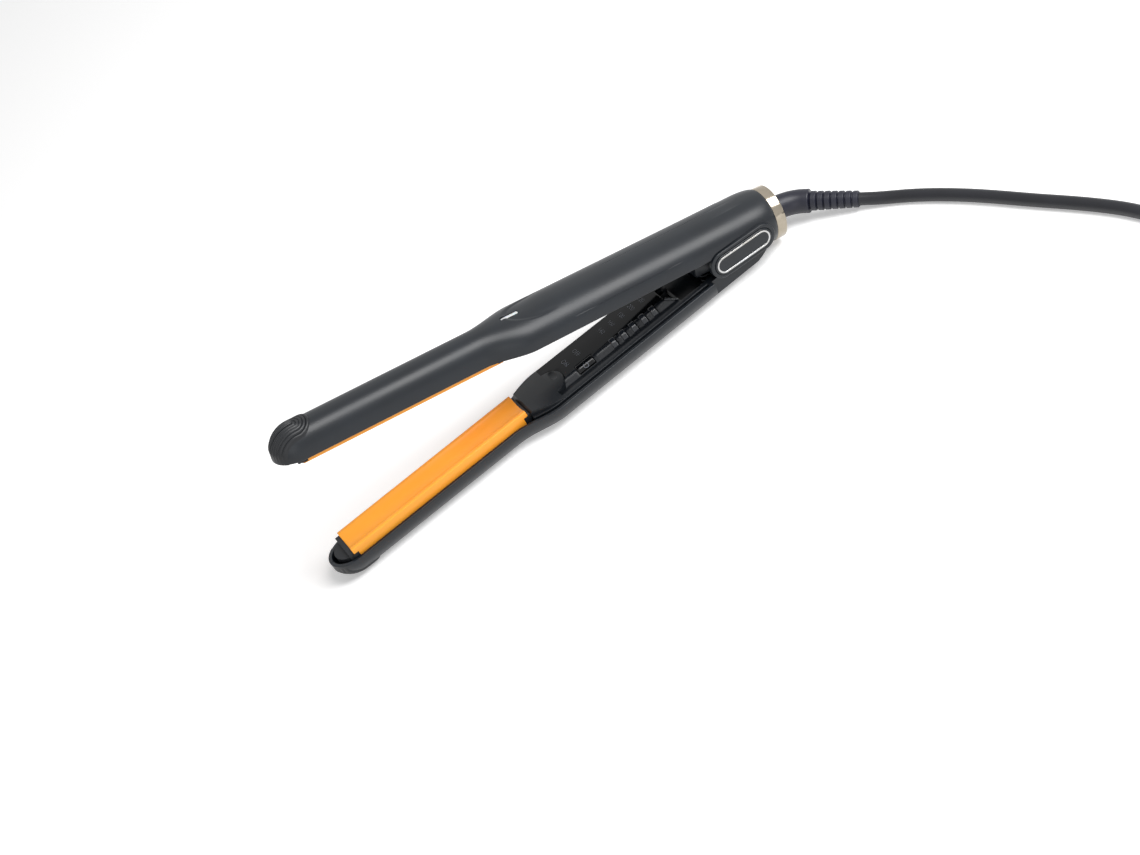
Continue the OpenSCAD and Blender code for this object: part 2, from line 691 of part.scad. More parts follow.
module control_board() {
    lower("#2f6b45") difference() {
        box(cover_x + board_front, cover_end - board_rear, board_w/2, board_z, board_z + board_t);
        for (x = board_posts) hole(x, 0, 1.2, board_z);
    }
}
module power_switch() {
    lower("#50555c") {
        translate([button_x, button_y + 2.5, board_z + board_t + (switch_h - 0.8)/2])
            cube([switch_w, switch_w, switch_h - 0.8], center = true);
        post(button_x, button_y + 2.5, 1.6, board_z + board_t + switch_h, board_z + board_t);
    }
}
module power_button() {
    base = cover_step - cover_t;
    lower("#1d2026") {
        translate([0, 0, base - button_flange]) linear_extrude(cover_h + button_h - base + button_flange)
            button_opening(0);
        translate([button_x, button_y, base - button_flange/2 - 0.05])
            cube([button_l + 1.8, button_w - 0.4, button_flange - 0.1], center = true);
    }
}

// ---- Cord ----
module from_boot() { // at the end of the boot's bend, heading along X
    translate([ring_end + boot_neck, -bend_r, ring_z]) rotate([0, 0, -bend]) translate([0, bend_r, 0])
        rotate([0, 90, 0]) children();
}
module cord_boot() {
    upper("#3a3d4c") {
        translate([ring_front, 0, ring_z]) rotate([0, 90, 0]) {
            cylinder(r = 8, h = 1.2);
            cylinder(r = boot_r, h = ring_l + boot_neck + 0.4);
        }
        translate([ring_end + boot_neck, -bend_r, ring_z]) rotate([0, 0, 90 - bend])
            rotate_extrude(angle = bend) translate([bend_r, 0]) circle(d = boot_d);
        from_boot() rotate_extrude() polygon(concat(
            [[0, -0.4], [boot_r, -0.4], [boot_r, 2.4], [rib_r - 0.7, 2.8]],
            [for (i = [0:boot_ribs - 1]) let (z = 3.2 + i*boot_pitch, r = rib_r - rib_taper*i)
                each [[r - 0.7, z + 0.6], [r, z + 1],
                    [r, z + boot_pitch - 0.6], [r - 0.8, z + boot_pitch - 0.2]]],
            [[0, 3 + boot_ribs*boot_pitch]]));
    }
}
module cord_colour() { color("#2b2d36") children(); }
module power_cord() { cord_colour() tube(cord_route, cord_r, 8); }
module plug_lead() { cord_colour() tube(lead_route, cord_r, 8); }
module tie_loop(o) {
    translate([coil_x + coil_r, coil_y, coil_h/2])
        cube([2*(coil_out - coil_r) + 2*o, tie_w, coil_h + 2*o], center = true);
}
module cord_tie() {
    color("#1c1e24") difference() {
        tie_loop(0);
        tie_loop(-tie_t);
    }
}
module cord_coil() {
    cord_colour() difference() {
        translate([coil_x, coil_y, 0]) rotate_extrude($fn = 96)
            translate([coil_in, 0]) square([coil_out - coil_in, coil_h]);
        difference() {
            tie_loop(5);
            tie_loop(-tie_t);
        }
    }
}
module plug_body() {
    color("#25272e") translate(plug_at) {
        rotate([0, 90, 0]) cylinder(r1 = 4.4, r2 = 5.4, h = 16);
        translate([16, 0, 0]) hull() for (s = [-1, 1]) {
            translate([0, 4*s, 0]) rotate([0, 90, 0]) cylinder(r = plug_h/2 - 0.6, h = 1, $fn = 32);
            translate([plug_l - 17, s*(plug_w - plug_h)/2, 0]) rotate([0, 90, 0])
                cylinder(r = plug_h/2 - 0.1, h = 1, $fn = 32);
        }
    }
}
module plug_pins() {
    color("#c9ccd0") translate(plug_at) for (s = [-1, 1])
        translate([plug_l, plug_pin_y*s, 0]) rotate([0, 90, 0]) cylinder(r = plug_pin_r, h = plug_pin_l);
}

upper_shell();
upper_tip_grip();
upper_plate();
upper_plate_tray();
upper_heater();
upper_heater_spring();
upper_inner_cover();
upper_cover_screws();
indicator_lens();
end_ring();
end_cap();
hinge_pins();
hinge_cap_near();
hinge_cap_far();
hinge_cap_trims();
cord_boot();
power_cord();
cord_coil();
cord_tie();
plug_lead();
plug_body();
plug_pins();
lower_shell();
lower_tip_grip();
lower_plate();
lower_plate_tray();
lower_heater();
lower_heater_spring();
hinge_bushes();
opening_spring();
inner_cover();
control_panel();
heat_windows();
control_board();
power_switch();
power_button();
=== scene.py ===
import math
import bmesh
import bpy
import numpy as np
from mathutils import Matrix


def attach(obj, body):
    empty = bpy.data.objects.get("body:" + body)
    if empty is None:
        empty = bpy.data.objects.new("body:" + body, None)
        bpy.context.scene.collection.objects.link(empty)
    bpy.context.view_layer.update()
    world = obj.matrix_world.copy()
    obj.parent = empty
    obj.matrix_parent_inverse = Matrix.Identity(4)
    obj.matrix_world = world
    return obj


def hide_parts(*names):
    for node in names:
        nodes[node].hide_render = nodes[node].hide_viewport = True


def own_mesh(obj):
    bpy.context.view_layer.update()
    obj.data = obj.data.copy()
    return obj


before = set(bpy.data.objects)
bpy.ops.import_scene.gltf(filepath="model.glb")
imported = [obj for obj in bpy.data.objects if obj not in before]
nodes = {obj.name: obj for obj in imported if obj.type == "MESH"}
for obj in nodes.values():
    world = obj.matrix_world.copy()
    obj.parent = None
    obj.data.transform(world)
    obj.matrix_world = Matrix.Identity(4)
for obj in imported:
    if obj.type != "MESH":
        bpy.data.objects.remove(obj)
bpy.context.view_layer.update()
print("frame:", len(nodes), "nodes")


def linearColour(hexColour):
    # sRGB hex to the linear values that shader sockets take
    parts = [int(hexColour[i:i + 2], 16) / 255 for i in (0, 2, 4)]
    return [p / 12.92 if p <= 0.04045 else ((p + 0.055) / 1.055) ** 2.4 for p in parts] + [1.0]


def smooth(t):
    # 0 below 0, 1 above 1, 3t^2 - 2t^3 between
    t = np.clip(t, 0, 1)
    return t * t * (3 - 2 * t)


def soft(c, power):
    # sine or cosine bent to a superellipse of that power
    return np.sign(c) * np.abs(c) ** (2 / power)


# Sizes in mm that several pieces share. Arm coordinates: x from the lower tip, z up from the
# lower arm's rim; the upper arm is drawn closed and then swung open about the hinge.
arm = dict(pivotX=241, pivotZ=4.2, openAngle=14, restX=185.5, floorZ=-12.9, rimGap=8.4,
           halfBarrel=10.5, halfHandle=16.5, neckX=105, neckL=25, noseL=13, wall=1.8, taper=0.9,
           cavityEnd=221, plateX=11.3, plateEnd=114.7, ringFront=264.4, ringL=5.4, ringZ=7.8,
           seam=0.01, beyond=20)  # stations a seam apart make a step; cutters end beyond the arms' sides


def lowerPlace(p):
    # arm coordinates in mm to the row frame in metres
    return (np.asarray(p, float) + [-arm["restX"], 0, -arm["floorZ"]]) / 1000


def upperPlace(p):
    # the same for the upper arm: turned by the opening angle about the hinge axis first
    p = np.array(p, float)
    a = math.radians(arm["openAngle"])
    x, z = p[..., 0] - arm["pivotX"], p[..., 2] - arm["pivotZ"]
    p[..., 0] = arm["pivotX"] + x * math.cos(a) + z * math.sin(a)
    p[..., 2] = arm["pivotZ"] - x * math.sin(a) + z * math.cos(a)
    return lowerPlace(p)


def overRim(p):
    # turns a shape drawn under the lower rim upside down, onto the upper rim
    p = np.array(p, float)
    p[..., 2] = arm["rimGap"] - p[..., 2]
    return p


def upperFlip(p):
    # puts a shape drawn as on the lower arm onto the upper one
    return upperPlace(overRim(p))


def neck(a, b, x):
    # a up to the neck, b after it, eased between
    return a + (b - a) * smooth((np.asarray(x, float) - arm["neckX"]) / arm["neckL"])


def gridFaces(rows, cols, closeRows=False, closeCols=False):
    # quads between neighbours of a rows x cols grid of points
    i = np.arange(rows if closeRows else rows - 1)[:, None]
    j = np.arange(cols if closeCols else cols - 1)[None, :]
    i2, j2 = (i + 1) % rows, (j + 1) % cols
    quads = np.stack([i * cols + j, i * cols + j2, i2 * cols + j2, i2 * cols + j], -1)
    return quads.reshape(-1, 4)


def finishMesh(obj, sharpAngle=32, merge=1e-6):
    # doubles merged, normals turned outwards, edges over the angle left sharp
    bm = bmesh.new()
    bm.from_mesh(obj.data)
    bmesh.ops.remove_doubles(bm, verts=bm.verts, dist=merge)
    bmesh.ops.dissolve_degenerate(bm, edges=bm.edges, dist=merge / 2)
    bmesh.ops.recalc_face_normals(bm, faces=bm.faces)
    limit = math.radians(sharpAngle)
    for edge in bm.edges:
        edge.smooth = not (len(edge.link_faces) == 2 and edge.calc_face_angle(0) > limit)
    for face in bm.faces:
        face.smooth = True
    bm.to_mesh(obj.data)
    bm.free()
    return obj


def makeObject(name, points, faces, material=None, sharpAngle=32, merge=1e-6):
    mesh = bpy.data.meshes.new(name)
    mesh.from_pydata(np.asarray(points, float).reshape(-1, 3).tolist(), [],
                     [list(map(int, f)) for f in faces])
    obj = bpy.data.objects.new(name, mesh)
    bpy.context.scene.collection.objects.link(obj)
    if material:
        mesh.materials.append(material)
    return finishMesh(obj, sharpAngle, merge)


def makeSurface(name, grid, material=None, closeRows=False, closeCols=True, caps=(True, True),
                sharpAngle=32, merge=1e-6):
    # a grid of points (rows, cols, 3) as one mesh, its first and last row closed by a face
    rows, cols = grid.shape[:2]
    faces = list(gridFaces(rows, cols, closeRows, closeCols))
    if caps[0] and not closeRows:
        faces.append(np.arange(cols))
    if caps[1] and not closeRows:
        faces.append((rows - 1) * cols + np.arange(cols)[::-1])
    return makeObject(name, grid, faces, material, sharpAngle, merge)


def joinMeshes(name, objects):
    # several meshes as one object
    bm = bmesh.new()
    for o in objects:
        bm.from_mesh(o.data)
    mesh = bpy.data.meshes.new(name)
    bm.to_mesh(mesh)
    bm.free()
    for m in objects[0].data.materials:
        mesh.materials.append(m)
    obj = bpy.data.objects.new(name, mesh)
    bpy.context.scene.collection.objects.link(obj)
    for o in objects:
        bpy.data.objects.remove(o)
    return obj


def carve(obj, cutters, operation="DIFFERENCE"):
    # booleans with closed cutters, applied at once
    for cutter in cutters:
        modifier = obj.modifiers.new("carve", "BOOLEAN")
        modifier.operation = operation
        modifier.solver = "EXACT"
        modifier.object = cutter
    graph = bpy.context.evaluated_depsgraph_get()
    mesh = bpy.data.meshes.new_from_object(obj.evaluated_get(graph))
    obj.modifiers.clear()
    obj.data = mesh
    for cutter in cutters:
        bpy.data.objects.remove(cutter)
    return obj


def prism(name, outline, x0, x1, place, axis="y"):
    # outline (n, 2) carried straight from x0 to x1 along that axis
    o = np.asarray(outline, float)
    ends = []
    for t in (x0, x1):
        k = np.full(len(o), float(t))
        ends.append({"x": np.stack([k, o[:, 0], o[:, 1]], -1),
                     "y": np.stack([o[:, 0], k, o[:, 1]], -1),
                     "z": np.stack([o[:, 0], o[:, 1], k], -1)}[axis])
    return makeSurface(name, place(np.stack(ends)))


def circleOutline(cx, cz, r, steps=64):
    a = np.linspace(0, 2 * math.pi, steps, endpoint=False)
    return np.stack([cx + r * np.cos(a), cz + r * np.sin(a)], -1)


def boxOutline(x0, x1, z0, z1):
    return np.array([[x0, z0], [x1, z0], [x1, z1], [x0, z1]], float)


def finished(obj, body, slotName, *replaced):
    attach(obj, body)
    if replaced:
        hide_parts(*replaced)
    return obj


def dress(obj, *materials):
    # these materials in place of any that it has
    obj.data.materials.clear()
    for material in materials:
        obj.data.materials.append(material)
    return obj


cameraSetup = dict(target=(-0.0605, 0, 0.0169), distance=1.0, azimuth=-9.34, elevation=38.68, roll=32.68,
                   lens=66.947, shiftX=0.03077, shiftY=-0.03103)


def makeCamera(s):
    az, el, roll = (math.radians(s[k]) for k in ("azimuth", "elevation", "roll"))
    back = np.array([math.sin(az) * math.cos(el), -math.cos(az) * math.cos(el), math.sin(el)])
    right = np.cross([0, 0, 1], back)
    right /= np.linalg.norm(right)
    up = np.cross(back, right)
    turnedRight = right * math.cos(roll) - up * math.sin(roll)
    turnedUp = right * math.sin(roll) + up * math.cos(roll)
    data = bpy.data.cameras.new("camera")
    data.sensor_width = 36
    data.sensor_fit = "HORIZONTAL"
    data.lens = s["lens"]
    data.shift_x, data.shift_y = s["shiftX"], s["shiftY"]
    obj = bpy.data.objects.new("camera", data)
    bpy.context.scene.collection.objects.link(obj)
    place = np.eye(4)
    place[:3, 0], place[:3, 1], place[:3, 2] = turnedRight, turnedUp, back
    place[:3, 3] = np.array(s["target"]) + back * s["distance"]
    obj.matrix_world = Matrix(place.tolist())
    bpy.context.scene.camera = obj


makeCamera(cameraSetup)
print("camera set")


def addNode(tree, kind, values=None, links=None, **settings):
    node = tree.nodes.new(kind)
    for key, value in settings.items():
        setattr(node, key, value)
    for key, value in (values or {}).items():
        node.inputs[key].default_value = value
    for key, socket in (links or {}).items():
        tree.links.new(socket, node.inputs[key])
    return node


def newMaterial(name, shaderValues):
    material = bpy.data.materials.new(name)
    material.use_nodes = True
    tree = material.node_tree
    shader = tree.nodes["Principled BSDF"]
    for key, value in shaderValues.items():
        shader.inputs[key].default_value = value
    coords = addNode(tree, "ShaderNodeTexCoord").outputs["Object"]
    return material, tree, shader, coords


def colourRamp(tree, factor, stops):
    node = addNode(tree, "ShaderNodeValToRGB", links={"Fac": factor})
    ramp = node.color_ramp
    while len(ramp.elements) < len(stops):
        ramp.elements.new(0.5)
    for element, (place, colour) in zip(ramp.elements, stops):
        element.position = place
        element.color = linearColour(colour)
    return node.outputs["Color"]


# nearly all of a noise texture lies from low to high
noise = dict(low=0.3, high=0.7, patchDetail=4.0, patchRoughness=0.55, grainDetail=2.0)


def grainedMaterial(name, dark, light, roughness, roughSpread, grainMm, bumpMm, patchMm=18, **shaderValues):
    # A moulded or cast surface: a fine grain in the bump, slow patches in colour and gloss.
    # grainMm and patchMm are the sizes of one grain and of one patch. Real grains are mostly under a tenth of
    # a millimetre, which wouldn't show, so they are drawn coarser.
    values = {"Roughness": roughness}
    values.update({k.replace("_", " "): v for k, v in shaderValues.items()})
    material, tree, shader, coords = newMaterial(name, values)
    patches = addNode(tree, "ShaderNodeTexNoise",
                      {"Scale": 1000 / patchMm, "Detail": noise["patchDetail"],
                       "Roughness": noise["patchRoughness"]}, {"Vector": coords}).outputs["Fac"]
    colour = colourRamp(tree, patches, [(noise["low"], dark), (noise["high"], light)])
    tree.links.new(colour, shader.inputs["Base Color"])
    spread = addNode(tree, "ShaderNodeMapRange",
                     {"From Min": noise["low"], "From Max": noise["high"], "To Min": roughness - roughSpread,
                      "To Max": roughness + roughSpread}, {"Value": patches})
    tree.links.new(spread.outputs["Result"], shader.inputs["Roughness"])
    grain = addNode(tree, "ShaderNodeTexNoise", {"Scale": 1000 / grainMm, "Detail": noise["grainDetail"]},
                    {"Vector": coords})
    bump = addNode(tree, "ShaderNodeBump", {"Strength": 1.0, "Distance": bumpMm / 1000},
                   {"Height": grain.outputs["Fac"]})
    tree.links.new(bump.outputs["Normal"], shader.inputs["Normal"])
    return material


# housings: broad soft highlights over a fine even grain
satinAbs = grainedMaterial("satin lacquered ABS", "12161b", "161b21", 0.37, 0.02, 0.5, 0.008,
                           Specular_IOR_Level=0.38)
# ribbed tips: duller and a little rougher than the housings
grippyAbs = grainedMaterial("ribbed ABS tip", "101216", "14171b", 0.42, 0.03, 0.4, 0.015,
                            Specular_IOR_Level=0.4)
# plates: one even colour with a broad sheen, because the coat hides the metal
coatedAluminium = grainedMaterial("orange ceramic coat on aluminium", "ff9f26", "ffab30", 0.42, 0.03, 0.35,
                                  0.006, patchMm=60, Specular_IOR_Level=0.6)
# trays and end disc: dull black, roughened by the glass fibre
blackPps = grainedMaterial("glass filled PPS", "101216", "15181c", 0.5, 0.05, 0.3, 0.02,
                           Specular_IOR_Level=0.35)
# heaters: chalky off white
steatite = grainedMaterial("pressed steatite heater", "cfc7b6", "ddd6c8", 0.6, 0.05, 0.25, 0.02)
# springs, pins and screws: dark metal with a low gleam
springSteel = grainedMaterial("oil blackened spring steel", "2a2c2f", "36393c", 0.38, 0.06, 0.2, 0.004,
                              Metallic=1.0)
# covers: black with a fine matt texture
coverAbs = grainedMaterial("fine textured ABS cover", "101318", "14181c", 0.42, 0.03, 0.35, 0.01,
                           Specular_IOR_Level=0.33)
# far part of the panel: black with clear reflections, slightly wavy
glossPanel = grainedMaterial("high gloss acrylic panel", "03060a", "05080d", 0.09, 0.01, 6.0, 0.003,
                             Specular_IOR_Level=0.2)
# near part of the panel: the same black, unpolished
satinPanel = grainedMaterial("satin moulded side of the panel", "101318", "14181e", 0.33, 0.02, 0.8, 0.006,
                             Specular_IOR_Level=0.33)
# bars over the lamps: dark grey with soft, bright edges
smokeWindow = grainedMaterial("smoke grey polycarbonate window", "191d24", "20242b", 0.24, 0.02, 3.0, 0.004,
                              Specular_IOR_Level=0.5)
# power key: black with small sharp highlights
buttonAbs = grainedMaterial("polished ABS button", "08090b", "0b0d10", 0.16, 0.02, 1.5, 0.006,
                            Specular_IOR_Level=0.3)
# lens: pale, with light going a little way in
milkyLens = grainedMaterial("milky polycarbonate lens", "d8d2d0", "e6e1df", 0.25, 0.03, 1.0, 0.005,
                            Subsurface_Weight=0.2)
# end band: clear reflections with a warm tint
warmChrome = grainedMaterial("warm polished chrome", "847e70", "b6ab9c", 0.12, 0.02, 3.0, 0.003, Metallic=1.0)
# loops on the hinge caps: pale metal, reflections less clear
silverTrim = grainedMaterial("silver plated trim", "a9a6a0", "c8cace", 0.25, 0.03, 1.0, 0.003, Metallic=1.0)
# bushes: dull yellow brown metal with fine pores
sinteredBronze = grainedMaterial("sintered bronze", "8f6d3a", "a8834a", 0.45, 0.08, 0.25, 0.02, Metallic=1.0)
# board: green under a thin clear resin
boardLaminate = grainedMaterial("circuit board laminate", "1e5233", "25633e", 0.35, 0.05, 0.6, 0.01)
# switch: dull dark grey
switchPa = grainedMaterial("nylon switch body", "2c2f34", "383c42", 0.5, 0.05, 0.3, 0.02)
# boot: bluish black with a soft sheen
bootTpe = grainedMaterial("moulded TPE boot", "171824", "1c1e2b", 0.42, 0.04, 0.4, 0.01,
                          Specular_IOR_Level=0.4)
# cord, tie and plug: black, drawn smooth, with a long soft highlight
cordPvc = grainedMaterial("extruded PVC sheath", "121318", "17181e", 0.38, 0.04, 0.8, 0.008,
                          Specular_IOR_Level=0.4)
# pins of the plug: bright and pale
nickelPin = grainedMaterial("nickel plated pin", "b9bcbf", "c8cbce", 0.2, 0.04, 0.5, 0.003, Metallic=1.0)
# printed marks: flat grey
inkGrey = grainedMaterial("screen printed grey ink", "565a63", "626670", 0.5, 0.04, 0.3, 0.002)
print("materials:", len(bpy.data.materials))

# every CAD node, also those that a finer mesh takes the place of below
nodeMaterials = {
    "upper_shell": satinAbs, "lower_shell": satinAbs, "upper_tip_grip": grippyAbs,
    "lower_tip_grip": grippyAbs, "upper_plate": coatedAluminium, "lower_plate": coatedAluminium,
    "upper_plate_tray": blackPps, "lower_plate_tray": blackPps, "upper_heater": steatite,
    "lower_heater": steatite,
    "upper_heater_spring": springSteel, "lower_heater_spring": springSteel, "upper_inner_cover": coverAbs,
    "upper_cover_screws": springSteel, "indicator_lens": milkyLens, "end_ring": warmChrome,
    "end_cap": blackPps, "hinge_pins": springSteel, "hinge_cap_near": satinAbs, "hinge_cap_far": satinAbs,
    "hinge_cap_trims": silverTrim, "hinge_bushes": sinteredBronze, "opening_spring": springSteel,
    "inner_cover": coverAbs, "control_panel": glossPanel, "heat_windows": smokeWindow,
    "control_board": boardLaminate, "power_switch": switchPa, "power_button": buttonAbs, "cord_boot": bootTpe,
    "power_cord": cordPvc, "cord_coil": cordPvc, "cord_tie": cordPvc, "plug_lead": cordPvc,
    "plug_body": cordPvc, "plug_pins": nickelPin}
for nodeName, nodeMaterial in nodeMaterials.items():
    dress(nodes[nodeName], nodeMaterial)

# Angles of the coil are in degrees along the cord. At stepsIn and stepsOut it changes lane by one pitch, at
# layerStep it climbs onto the lower layer; outerLane is in pitches from the middle radius.
cordSetup = dict(diameter=6.4, sides=20, coilX=232, coilY=-177, midRadius=35.9, pitch=6.42, outerLane=1.5,
                 enterAngle=180, exitAngle=195, fullTurns=7, angleStep=15.0, stepsIn=(360, 720, 1080),
                 layerStep=1380, stepsOut=(1680, 2040, 2400), stepL=120, straight=28, leadBend=30, leadFrom=4,
                 leadPoints=17, dropFrom=8, dropL=26, riseL=26, plugZ=6.5, spacing=4, length=1.8)
cordRoute = np.array([
    [118.1, -24.4, 5.2], [120.9, -27.2, 4.5], [124.2, -30.8, 3.8], [128.4, -35.6, 3.35],
    [133.6, -42.2, 3.2], [139.4, -50.8, 3.2], [145, -60.2, 3.2], [150.4, -70.2, 3.2],
    [155.4, -80.4, 3.2], [160.2, -90.8, 3.2], [165, -101.2, 3.2], [170, -111.6, 3.2],
    [174.8, -122, 3.2], [179.2, -132.4, 3.2], [182.8, -142.6, 3.2], [185.7, -154.4, 3.2],
    [186.4, -165, 3.2]])  # along the table, mm in the row frame


def coilPath(s):
    # Polar about the coil's middle: the radius steps in by a pitch on three turns, then out on three,
    # and the height steps from the lower to the upper layer at the innermost turn
    a = np.arange(s["enterAngle"], 360 * s["fullTurns"] + s["exitAngle"] + 1, s["angleStep"])
    lane = (sum(smooth((a - k) / s["stepL"]) for k in s["stepsOut"])
            - sum(smooth((a - k) / s["stepL"]) for k in s["stepsIn"]))
    r = s["midRadius"] + s["outerLane"] * s["pitch"] + s["pitch"] * lane
    z = s["diameter"] / 2 + s["pitch"] * smooth((a - s["layerStep"]) / s["stepL"])
    t = np.radians(a)
    return np.stack([s["coilX"] + r * np.cos(t), s["coilY"] + r * np.sin(t), z], -1)


def leadPath(s):
    # straight off the outermost turn, then round a bend to run along X, down to the table and up to the plug
    outer = s["midRadius"] + s["outerLane"] * s["pitch"]
    a = math.radians(s["exitAngle"])
    start = np.array([s["coilX"] + outer * math.cos(a), s["coilY"] + outer * math.sin(a)])
    ahead = np.array([-math.sin(a), math.cos(a)])
    left = np.array([-ahead[1], ahead[0]])
    turn = math.radians(270 - s["exitAngle"])
    total = s["straight"] + s["leadBend"] * turn
    d = np.linspace(s["leadFrom"], total, s["leadPoints"])[:, None]
    b = np.clip((d - s["straight"]) / s["leadBend"], 0, turn)
    flat = start + ahead * np.minimum(d, s["straight"]) + s["leadBend"] * (
        left * (1 - np.cos(b)) + ahead * np.sin(b))
    low = s["diameter"] / 2
    z = low + s["pitch"] * (1 - smooth((d - s["dropFrom"]) / s["dropL"]))
    z += (s["plugZ"] - low) * smooth((d - total + s["riseL"]) / s["riseL"])
    return np.concatenate([flat, z], 1)


def tubeAlong(path, radius, sides, firstUp=(0, 0, 1)):
    # Rings of points square to the path. radius is one value or one per point. The rings are kept from
    # twisting by carrying their upward direction along, made square to the path at each step
    path = np.asarray(path, float)
    tangent = np.gradient(path, axis=0)
    tangent /= np.linalg.norm(tangent, axis=1)[:, None]
    up = np.array(firstUp, float)[None] - tangent * (tangent @ np.array(firstUp, float))[:, None]
    up /= np.linalg.norm(up, axis=1)[:, None]
    side = np.cross(tangent, up)
    a = np.linspace(0, 2 * math.pi, sides, endpoint=False)
    r = np.broadcast_to(np.asarray(radius, float), (len(path),))[:, None, None]
    around = np.cos(a)[None, :, None] * side[:, None] + np.sin(a)[None, :, None] * up[:, None]
    return path[:, None] + r * around


def dense(path, step):
    # Points at equal steps along a Catmull-Rom curve through the path's points, worked out at 8 to a span
    p = np.asarray(path, float)
    q = np.concatenate([[2 * p[0] - p[1]], p, [2 * p[-1] - p[-2]]])
    t = np.linspace(0, 1, 8, endpoint=False)[None, :, None]
    a, b, c, d = (q[k:len(q) - 3 + k, None] for k in range(4))
    curve = 0.5 * (2 * b + (c - a) * t + (2 * a - 5 * b + 4 * c - d) * t ** 2
                   + (3 * b - a - 3 * c + d) * t ** 3)
    curve = np.concatenate([curve.reshape(-1, 3), p[-1:]])
    run = np.concatenate([[0], np.cumsum(np.linalg.norm(np.diff(curve, axis=0), axis=1))])
    at = np.linspace(0, run[-1], max(2, int(round(run[-1] / step)) + 1))
    return np.stack([np.interp(at, run, curve[:, k]) for k in range(3)], -1)


cordPoints = np.concatenate([cordRoute, coilPath(cordSetup)[1:], leadPath(cordSetup)]) / 1000
cordLine = dense(cordPoints, cordSetup["spacing"] / 1000)
cordTube = tubeAlong(cordLine, cordSetup["diameter"] / 2000, cordSetup["sides"])
cordMesh = makeSurface("mains_cord", cordTube, cordPvc)
finished(cordMesh, "upper_arm", "cord", "power_cord", "cord_coil", "plug_lead")
cordLength = float(np.linalg.norm(np.diff(cordLine, axis=0), axis=1).sum())
print("cord", round(cordLength, 4), "m")


def bevelled(obj, widthMm, segments=3, angle=38, sharpAngle=50):
    # the edges over the angle rounded by that width
    modifier = obj.modifiers.new("round", "BEVEL")
    modifier.width = widthMm / 1000
    modifier.segments = segments
    modifier.limit_method = "ANGLE"
    modifier.angle_limit = math.radians(angle)
    modifier.harden_normals = False
    graph = bpy.context.evaluated_depsgraph_get()
    mesh = bpy.data.meshes.new_from_object(obj.evaluated_get(graph))
    obj.modifiers.clear()
    obj.data = mesh
    return finishMesh(obj, sharpAngle, 2e-6)


def skinAngles(steps, extra=()):
    # angles round half a section, with those in degrees added
    return np.sort(np.concatenate([np.linspace(0, math.pi, steps), np.radians(list(extra))]))


def housingLoops(outer, inner, rimRound, edgeRound, power, steps=56, rounds=5, extra=()):
    # A closed loop at each station [x, half width, depth]: half a superellipse |y/w|^n + |z/d|^n = 1 for the
    # outside, a quarter circle over the rim, half a superellipse for the inside, and the other rim back
    outer, inner = np.asarray(outer, float), np.asarray(inner, float)
    count = len(outer)
    r = np.broadcast_to(rimRound, (count,))[:, None]
    e = np.broadcast_to(edgeRound, (count,))[:, None]
    n = np.broadcast_to(power, (count,))[:, None]
    a = skinAngles(steps, extra)[None, :]
    b = np.linspace(0, math.pi / 2, rounds)[None, 1:]
    xo, wo, do = (outer[:, k, None] for k in range(3))
    xi, wi, di = (inner[:, k, None] for k in range(3))

    def line(x, y, z):
        return np.stack(np.broadcast_arrays(x, y, z), -1)

    outside = line(xo, -wo * soft(np.cos(a), n), -r - (do - r) * soft(np.sin(a), n))
    rim = line(xo, wo - r + r * np.cos(b), -r + r * np.sin(b))
    edge = line(xi, wi + e * (1 - np.sin(b)), -e * (1 - np.cos(b)))
    inside = line(xi, wi * soft(np.cos(a), n), -e - (di - e) * soft(np.sin(a), n))
    flip = np.array([1, -1, 1])
    return np.concatenate([outside, rim, edge, inside[:, 1:-1], edge[:, ::-1] * flip,
                           rim[:, ::-1] * flip], 1)


# The hinge: round-ended cheeks about midX and midZ, leaning by tilt degrees, with seats for the caps. The
# lower arm has pockets for the cheeks, and ears that turn beside the upper arm's knuckle.
hinge = dict(midX=242.3, midZ=5.9, tilt=9.3, endR=19, play=0.35, roomTop=12.9,
             cheekL=37, cheekH=14, cheekIn=13.35, cheekOut=16.9, cheekGap=0.9, cheekRound=0.5,
             seatL=32.7, seatH=10.7, seatDeep=1, grooveIn=15.2, grooveWide=1.1,
             pocketRear=283, pocketLow=-16, pocketTop=3, pocketOut=24,
             earIn=9.2, earOut=13, earR=7.2, earRound=0.4,
             knuckleFront=219, knuckleRear=249, knuckleLow=-1.5, knuckleTop=13.9, knuckleHalf=8.85,
             knuckleRound=0.8, barrelR=7, barrelRound=0.4)
# How many stations there are along each stretch of a housing, and where the stretches start
stations = dict(nose=20, noseFrom=3, barrel=12, barrelX=20, neck=62, neckPast=22, handle=14, handlePast=30)


def armHalf(x):
    # half width of either arm: the neck's ease, then a slow straight taper to the end band
    x = np.asarray(x, float)
    start = arm["neckX"] + arm["neckL"]
    narrower = arm["taper"] * np.maximum(x - start, 0) / (arm["ringFront"] - start)
    return neck(arm["halfBarrel"], arm["halfHandle"], x) - narrower


